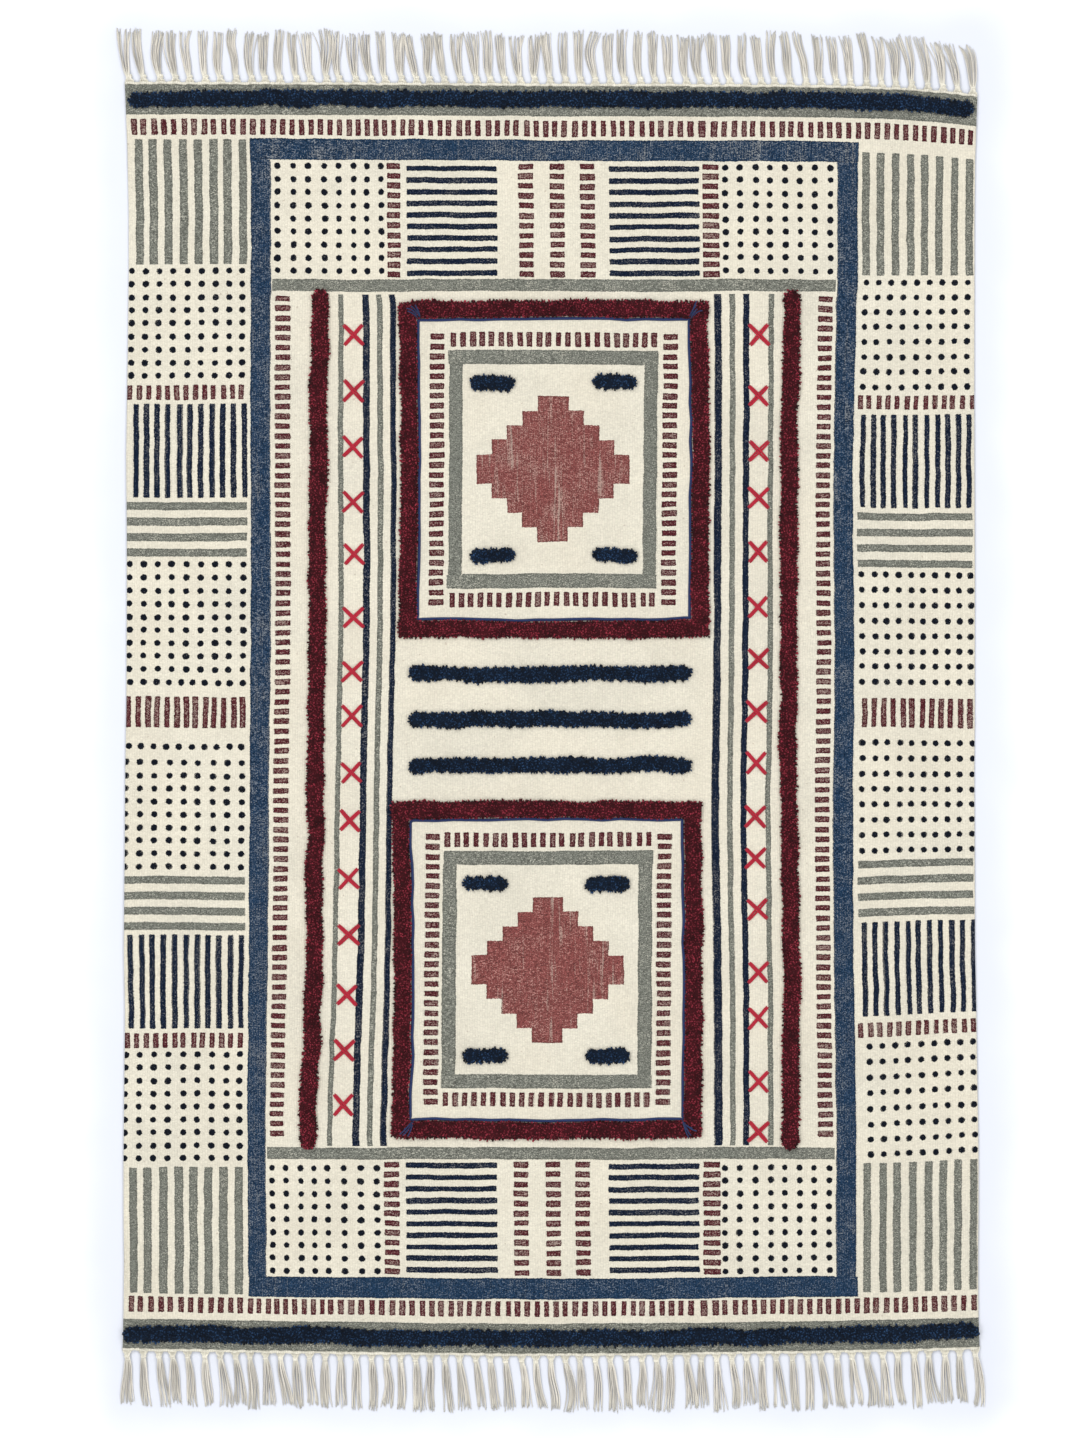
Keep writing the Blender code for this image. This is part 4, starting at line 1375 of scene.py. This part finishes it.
def twined_row_paths(end):
    """Two yarns twisted round each other along the end of the cloth, drawn out a little by each knot."""
    chance = np.random.default_rng(27 if end == FAR else 28)
    places = EDGES[END_NAMES[end]][0]
    turns = round((places[-1] - places[0]) / ROW_TURN)
    x = np.linspace(places[0] + 1.5 * MM, places[-1] - 1.5 * MM, turns * 6 + 1)
    roots = np.array([course[0] for course in bundle_courses(end)])
    nearest = np.abs(x[:, None] - roots).min(axis=1)
    pull = ROW_PULL[0] * np.exp(-((nearest / ROW_PULL[1]) ** 2))
    middle = end_edge(x, end) - end * (ROW_INSET - pull)
    middle += smooth_chance(chance, x, 17 * MM, 0.5 * MM)
    size = 1 + smooth_chance(chance, x, 4 * MM, 0.36)
    angle = np.linspace(0, turns * 2 * math.pi, len(x)) + smooth_chance(chance, x, 14 * MM, 0.9)
    paths = []
    for phase in (0.0, math.pi):
        y = middle + ROW_OFF * size * np.cos(angle + phase)
        z = (2.3 + 1.05 * size * np.sin(angle + phase)) * MM
        paths.append(np.stack((x, y, z), axis=1))
    paths = np.array(paths)
    return paths, ROW_RADIUS * np.broadcast_to(size, paths.shape[:2])


def to_frame(paths, lift=1.0):
    """Moves paths from the rug's own places into the frame, and lets them follow the rise of the cloth."""
    paths = paths.copy()
    paths[..., 2] += lift * rise(paths[..., 0], paths[..., 1])
    paths[..., 0] += flare(paths[..., 0], paths[..., 1])
    paths[..., :2] += MIDDLE
    return paths


def build_fringe_mesh(name, end, settings):
    """Yarns, knots and finishing row of one end. The yarns come down to the floor within 45 mm."""
    strands, strand_radii = strand_paths(end, settings)
    share = np.clip(1 - (np.abs(strands[..., 1]) - HALF_CLOTH) / (45 * MM), 0.0, 1.0)
    knots, knot_radii = knot_paths(end)
    row, row_radii = twined_row_paths(end)
    mesh = tube_mesh(
        name,
        [
            (to_frame(strands, share), strand_radii, 5),
            (to_frame(knots), knot_radii, 5),
            (to_frame(row), row_radii, 6),
        ],
    )
    points = mesh_points(mesh)
    out = np.abs(points[:, 1] - MIDDLE[1]) - np.abs(end_edge(points[:, 0] - MIDDLE[0], end))
    set_attribute(mesh, "pale_yarn_and_highlight", "FLOAT", "POINT", np.interp(out, *PALE_YARN_AND_HIGHLIGHT))
    return mesh


# Sewn crosses and thin sewn lines.

CROSS_COLUMNS = (
    # place across mm, number, far and near ends mm, seed
    (-291, 15, 554, -554, 41),
    (291, 16, 553, -594, 42),
)
CROSS_JITTER = 9  # of the steps between crosses, mm
CROSS_SWELL = 7  # slow change of the steps down a column, mm
CROSS_ANGLE = 0.76  # of a stitch from the rug's length
CROSS_TILT = 0.07
STITCH_SINK = 2.4 * MM  # of the ends of a stitch into the cloth
SEWN_LINE_OFF = 1.8 * MM  # from the edge of the frame's pile
SEWN_LINE_RADIUS = 2.2 * MM
SEWN_LINE_STEP = 5 * MM
SEWN_LINE_WANDER = (38 * MM, 0.4 * MM)
STITCH_LENGTH = 9 * MM
LOOSE_ENDS = 5  # at a corner
LOOSE_END_RADIUS = 1.0 * MM


def cross_places():
    """Middles of the crosses, at uneven steps down both sides of the field."""
    for across, number, far, near, seed in CROSS_COLUMNS:
        chance = random.Random(seed)
        step = (near - far) / (number - 1)
        for i in range(number):
            jitter = chance.uniform(-CROSS_JITTER, CROSS_JITTER) if 0 < i < number - 1 else 0.0
            swell = CROSS_SWELL * math.sin(i / (number - 1) * 2 * math.pi)
            along = far + step * i + jitter - swell
            x, y = rug_place(np.array(across * MM), np.array(along * MM))
            yield float(x) + chance.uniform(-1, 1) * MM, float(y), chance


def build_cross_mesh(settings):
    """Two crossing stitches of doubled yarn in each place, the second over the first."""
    paths = []
    shares = np.linspace(-1, 1, 11)
    radius = settings.red_radius
    for x, y, chance in cross_places():
        half = settings.cross_size / 2
        for layer, slant in enumerate((1, -1)):
            angle = CROSS_ANGLE + chance.uniform(-CROSS_TILT, CROSS_TILT)
            direction = np.array((math.sin(angle) * slant, math.cos(angle)))
            normal = np.array((direction[1], -direction[0]))
            reach = half * math.sqrt(2) * chance.uniform(0.95, 1.06)
            for strand in (-1, 1):
                bend = chance.uniform(-0.5, 0.5) * MM * (1 - shares**2)
                offset = strand * radius * 0.93 * (0.82 + 0.18 * np.cos(shares * math.pi / 2)) + bend
                flat = np.array((x, y)) + shares[:, None] * reach * direction + offset[:, None] * normal
                z = CLOTH_THICKNESS + radius * 0.65 + layer * radius * np.exp(-((shares / 0.30) ** 2))
                z = z - STITCH_SINK * np.clip((np.abs(shares) - 0.86) / 0.14, 0, 1) ** 2
                paths.append(np.column_stack((flat, z)))
    paths = np.array(paths)
    shape = 1 - 0.25 * np.clip((np.abs(shares) - 0.8) / 0.2, 0, 1)
    radii = np.broadcast_to(radius * shape, paths.shape[:2])
    return tube_mesh("red_crosses", [(to_frame(paths), radii, 7)])


def inner_edges(panel):
    """The inner edge of each side of a panel's frame, from the middle of the rug: places and edge."""
    edges = {}
    for side, inward in INNER_SIDES.items():
        axis, along, middle, half = read_course(f"panel_{panel}_frame_{side}")
        edge = middle + inward * (half + SEWN_LINE_OFF)
        edges[side] = (along[2:-2] - MIDDLE[axis], edge[2:-2] - MIDDLE[1 - axis])
    return edges


def sewn_line_path(edges, corners, chance):
    """A hand-laid course round the corners and along the edges between them, with slow wander."""
    points = []
    order = ("far", "right", "near", "left")
    for side, begin, end in zip(order, corners, corners[1:]):
        axis = 0 if side in ("far", "near") else 1
        count = round(abs(end[axis] - begin[axis]) / SEWN_LINE_STEP)
        along = np.linspace(begin[axis], end[axis], count, endpoint=False)
        level = np.interp(along, *edges[side])
        points.append(np.column_stack((along, level) if axis == 0 else (level, along)))
    points.append(np.array(corners[-1:]))
    flat = np.concatenate(points)
    run = np.arange(len(flat)) * SEWN_LINE_STEP
    for axis in (0, 1):
        flat[:, axis] += smooth_chance(chance, run, *SEWN_LINE_WANDER)
    z = CLOTH_THICKNESS + (0.75 + 0.35 * np.sin(run / STITCH_LENGTH * 2 * math.pi)) * MM
    return np.column_stack((flat, z))


def build_sewn_line_mesh(panel, seed):
    """A thin navy line laid just inside one frame, with loose ends at its corners."""
    chance = np.random.default_rng(seed)
    edges = inner_edges(panel)
    left, right, near, far = (edges[side][1].mean() for side in ("left", "right", "near", "far"))
    corners = [(left, far), (right, far), (right, near), (left, near), (left, far)]
    line = sewn_line_path(edges, corners, chance)[None]
    groups = [(to_frame(line), np.full(line.shape[:2], SEWN_LINE_RADIUS), 6)]
    outer_y, out = (far, 1) if panel == "far" else (near, -1)
    shares = np.linspace(0, 1, 9)
    lift = 11.2 * np.sin(np.clip(shares * 2.4, 0, math.pi / 2)) - 2.8 * shares
    ends = []
    for x, sideways in ((left, 1), (right, -1)):
        for _ in range(LOOSE_ENDS):
            angle = out * chance.uniform(0.75, 1.45)
            reach = chance.uniform(17, 27) * MM
            start = (x + chance.uniform(-2, 2) * MM, outer_y + chance.uniform(-1, 3) * MM * out)
            turn = angle * (1 - 0.5 * shares * chance.uniform(0.2, 1.0))
            flat_x = start[0] - sideways * reach * shares * np.cos(turn) * chance.uniform(0.5, 1.0)
            flat_y = start[1] + reach * shares * np.sin(turn)
            ends.append(np.column_stack((flat_x, flat_y, CLOTH_THICKNESS + lift * MM)))
    ends = np.array(ends)
    groups.append((to_frame(ends), np.full(ends.shape[:2], LOOSE_END_RADIUS), 5))
    return tube_mesh(f"sewn_line_{panel}", groups)


# Operators.


class RUG_OT_cloth(bpy.types.Operator):
    """Build the printed cloth in place of its plain solid"""

    bl_idname = "rug.cloth"
    bl_label = "Printed cloth"

    def execute(self, context):
        settings = context.scene.rug_cloth
        inks = {
            "grey": settings.grey_ink,
            "navy": settings.navy_ink,
            "worn_navy": settings.navy_ink,
            "dark": settings.dark_ink,
            "black": settings.black_ink,
            "maroon": settings.maroon_ink,
            "rust": settings.rust_ink,
        }
        mesh = build_cloth_mesh(design_print(settings.dot / MM), inks)
        piece = link_piece("printed_cloth", mesh, make_cloth_material(settings))
        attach(piece, BODY)
        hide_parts("woven_cloth")
        return {"FINISHED"}


class RUG_OT_pile(bpy.types.Operator):
    """Build the lines of cut pile, each in place of its plain solid"""

    bl_idname = "rug.pile"
    bl_label = "Cut pile"

    def execute(self, context):
        settings = context.scene.rug_pile
        maroon = make_pile_material("maroon cut pile", settings.maroon)
        navy = make_pile_material("navy cut pile", settings.navy)
        lines = [(node, maroon) for node in MAROON_LINES] + [(node, navy) for node in NAVY_LINES]
        for number, (node, material) in enumerate(lines):
            piece = link_piece(node + "_pile", build_pile_mesh(node, settings, number), material)
            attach(piece, BODY)
            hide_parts(node)
        return {"FINISHED"}


class RUG_OT_fringe(bpy.types.Operator):
    """Build the knotted fringe at both ends in place of its plain solids"""

    bl_idname = "rug.fringe"
    bl_label = "Knotted fringe"

    def execute(self, context):
        settings = context.scene.rug_yarn
        material = make_yarn_material("fringe yarn", settings.fringe, 3.0, 0.0075, 0.55, settings.pale_yarn_and_highlight_colour)
        for end, name in END_NAMES.items():
            mesh = build_fringe_mesh(f"knotted_fringe_{name}", end, settings)
            piece = link_piece(f"knotted_fringe_{name}", mesh, material)
            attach(piece, BODY)
            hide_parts(f"fringe_{name}")
        return {"FINISHED"}


class RUG_OT_crosses(bpy.types.Operator):
    """Sew the red crosses down both sides of the field"""

    bl_idname = "rug.crosses"
    bl_label = "Red crosses"

    def execute(self, context):
        settings = context.scene.rug_yarn
        material = make_yarn_material("red sewing yarn", settings.red, 2.0, 0.005, 0.16)
        piece = link_piece("red_crosses", build_cross_mesh(settings), material)
        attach(piece, BODY)
        return {"FINISHED"}


class RUG_OT_sewn_lines(bpy.types.Operator):
    """Sew the thin navy lines inside the frames, with their loose ends"""

    bl_idname = "rug.sewn_lines"
    bl_label = "Thin navy lines"

    def execute(self, context):
        settings = context.scene.rug_yarn
        material = make_yarn_material("navy sewing yarn", settings.navy, 2.0, 0.005, 0.16)
        for panel, seed in (("far", 61), ("near", 62)):
            piece = link_piece(f"sewn_line_{panel}", build_sewn_line_mesh(panel, seed), material)
            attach(piece, BODY)
        return {"FINISHED"}


FLOOR_HALF = 9.0
FLOOR_DROP = 0.6 * MM  # below the rug, so that nothing lies in the same plane
FLOOR_IN_PAINTED_SHADOW, FAR_FLOOR = (0.645, 0.667, 0.73, 1.0), (0.95, 0.955, 0.97, 1.0)
LIGHTS = (
    # name, place, power
    ("far left light", (-1.9, 2.1, 3.9), 81),
    ("far right light", (2.1, 1.9, 3.9), 57),
    ("near left light", (-2.1, -1.9, 3.9), 56),
    ("near right light", (1.9, -2.1, 3.9), 50),
)
LIGHT_SIZE = 1.6
ROOM_COLOUR, ROOM_STRENGTH = (0.97, 0.985, 1.0, 1.0), 0.62
CAMERA_HEIGHT = 5.76
CAMERA_OFF = (-14.4 * MM, -0.7 * MM)  # from above the middle of the rug


class RUG_OT_stage(bpy.types.Operator):
    """Set up the pale floor, the soft lights and the camera above the rug"""

    bl_idname = "rug.stage"
    bl_label = "Floor, lights and camera"

    def execute(self, context):
        scene = context.scene
        bm = bmesh.new()
        bmesh.ops.create_grid(bm, x_segments=1, y_segments=1, size=FLOOR_HALF)
        bmesh.ops.translate(bm, verts=bm.verts, vec=(0, 0, -FLOOR_DROP))
        mesh = bpy.data.meshes.new("floor")
        bm.to_mesh(mesh)
        bm.free()
        material, nodes, shader = new_material("pale floor")
        place = nodes.add("ShaderNodeTexCoord").outputs["Object"]
        # Painted shadow: the floor is a little darker and bluer close around the rug.
        beyond = nodes.vector("SUBTRACT", nodes.vector("ABSOLUTE", place), (0.60, 0.96, 1.0))
        distance = nodes.vector("LENGTH", nodes.vector("MAXIMUM", beyond, (0.0, 0.0, 0.0)))
        distance = nodes.math("MULTIPLY_ADD", nodes.noise(place, 7.0, 2.0), 0.05, distance)
        colour = nodes.mix(nodes.ramp(distance, 0.045, 0.19), FLOOR_IN_PAINTED_SHADOW, FAR_FLOOR)
        nodes.feed(shader.inputs["Base Color"], colour)
        shader.inputs["Roughness"].default_value = 0.9
        shader.inputs["Specular IOR Level"].default_value = 0.1
        link_piece("floor", mesh, material)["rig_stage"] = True

        for name, place, power in LIGHTS:
            lamp = bpy.data.lights.new(name, "AREA")
            lamp.energy = power
            lamp.size = LIGHT_SIZE
            light = bpy.data.objects.new(name, lamp)
            light.location = place
            light.rotation_euler = (-Vector(place)).to_track_quat("-Z", "Y").to_euler()
            light.visible_camera = False
            scene.collection.objects.link(light)

        world = bpy.data.worlds.new("soft room")
        scene.world = world
        world.use_nodes = True
        background = world.node_tree.nodes["Background"]
        background.inputs["Color"].default_value = ROOM_COLOUR
        background.inputs["Strength"].default_value = ROOM_STRENGTH

        lens = bpy.data.cameras.new("camera above")
        lens.lens = 100
        lens.sensor_width = 36
        lens.sensor_fit = "VERTICAL"
        lens.sensor_height = 36
        lens.clip_end = 50
        camera = bpy.data.objects.new("camera above", lens)
        camera.location = (MIDDLE[0] + CAMERA_OFF[0], MIDDLE[1] + CAMERA_OFF[1], CAMERA_HEIGHT)
        scene.collection.objects.link(camera)
        scene.camera = camera
        scene.view_settings.view_transform = "Standard"
        return {"FINISHED"}


class RUG_PT_panel(bpy.types.Panel):
    """Lists the rug's pieces"""

    bl_idname = "RUG_PT_panel"
    bl_label = "Printed cotton rug"
    bl_space_type = "VIEW_3D"
    bl_region_type = "UI"
    bl_category = "Rug"

    def draw(self, context):
        layout = self.layout
        for operator in OPERATORS:
            layout.operator(operator.bl_idname)
        for group in (context.scene.rug_cloth, context.scene.rug_pile, context.scene.rug_yarn):
            for name in group.__annotations__:
                layout.prop(group, name)


OPERATORS = (RUG_OT_cloth, RUG_OT_pile, RUG_OT_fringe, RUG_OT_crosses, RUG_OT_sewn_lines, RUG_OT_stage)
CLASSES = (ClothSettings, PileSettings, YarnSettings, *OPERATORS, RUG_PT_panel)


def register():
    for item in CLASSES:
        bpy.utils.register_class(item)
    bpy.types.Scene.rug_cloth = PointerProperty(type=ClothSettings)
    bpy.types.Scene.rug_pile = PointerProperty(type=PileSettings)
    bpy.types.Scene.rug_yarn = PointerProperty(type=YarnSettings)


def unregister():
    del bpy.types.Scene.rug_yarn
    del bpy.types.Scene.rug_pile
    del bpy.types.Scene.rug_cloth
    for item in reversed(CLASSES):
        bpy.utils.unregister_class(item)


def declare_sheet():
    """Picks out the cloth and the other pieces built on it, without doing more with them."""
    cloth = bpy.data.objects["printed_cloth"]
    others = [piece for piece in bpy.data.objects if piece.type == "MESH" and "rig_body" in piece]
    others = [piece for piece in others if piece != cloth and "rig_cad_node" not in piece]


def main():
    register()
    for operator in OPERATORS:
        group, name = operator.bl_idname.split(".")
        getattr(getattr(bpy.ops, group), name)()
    declare_sheet()
    boxes = {"cad": CAD_BOX, "visual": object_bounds()}
    sizes = {name: [list(corner) for corner in box] for name, box in boxes.items()}


if __name__ == "__main__":
    main()
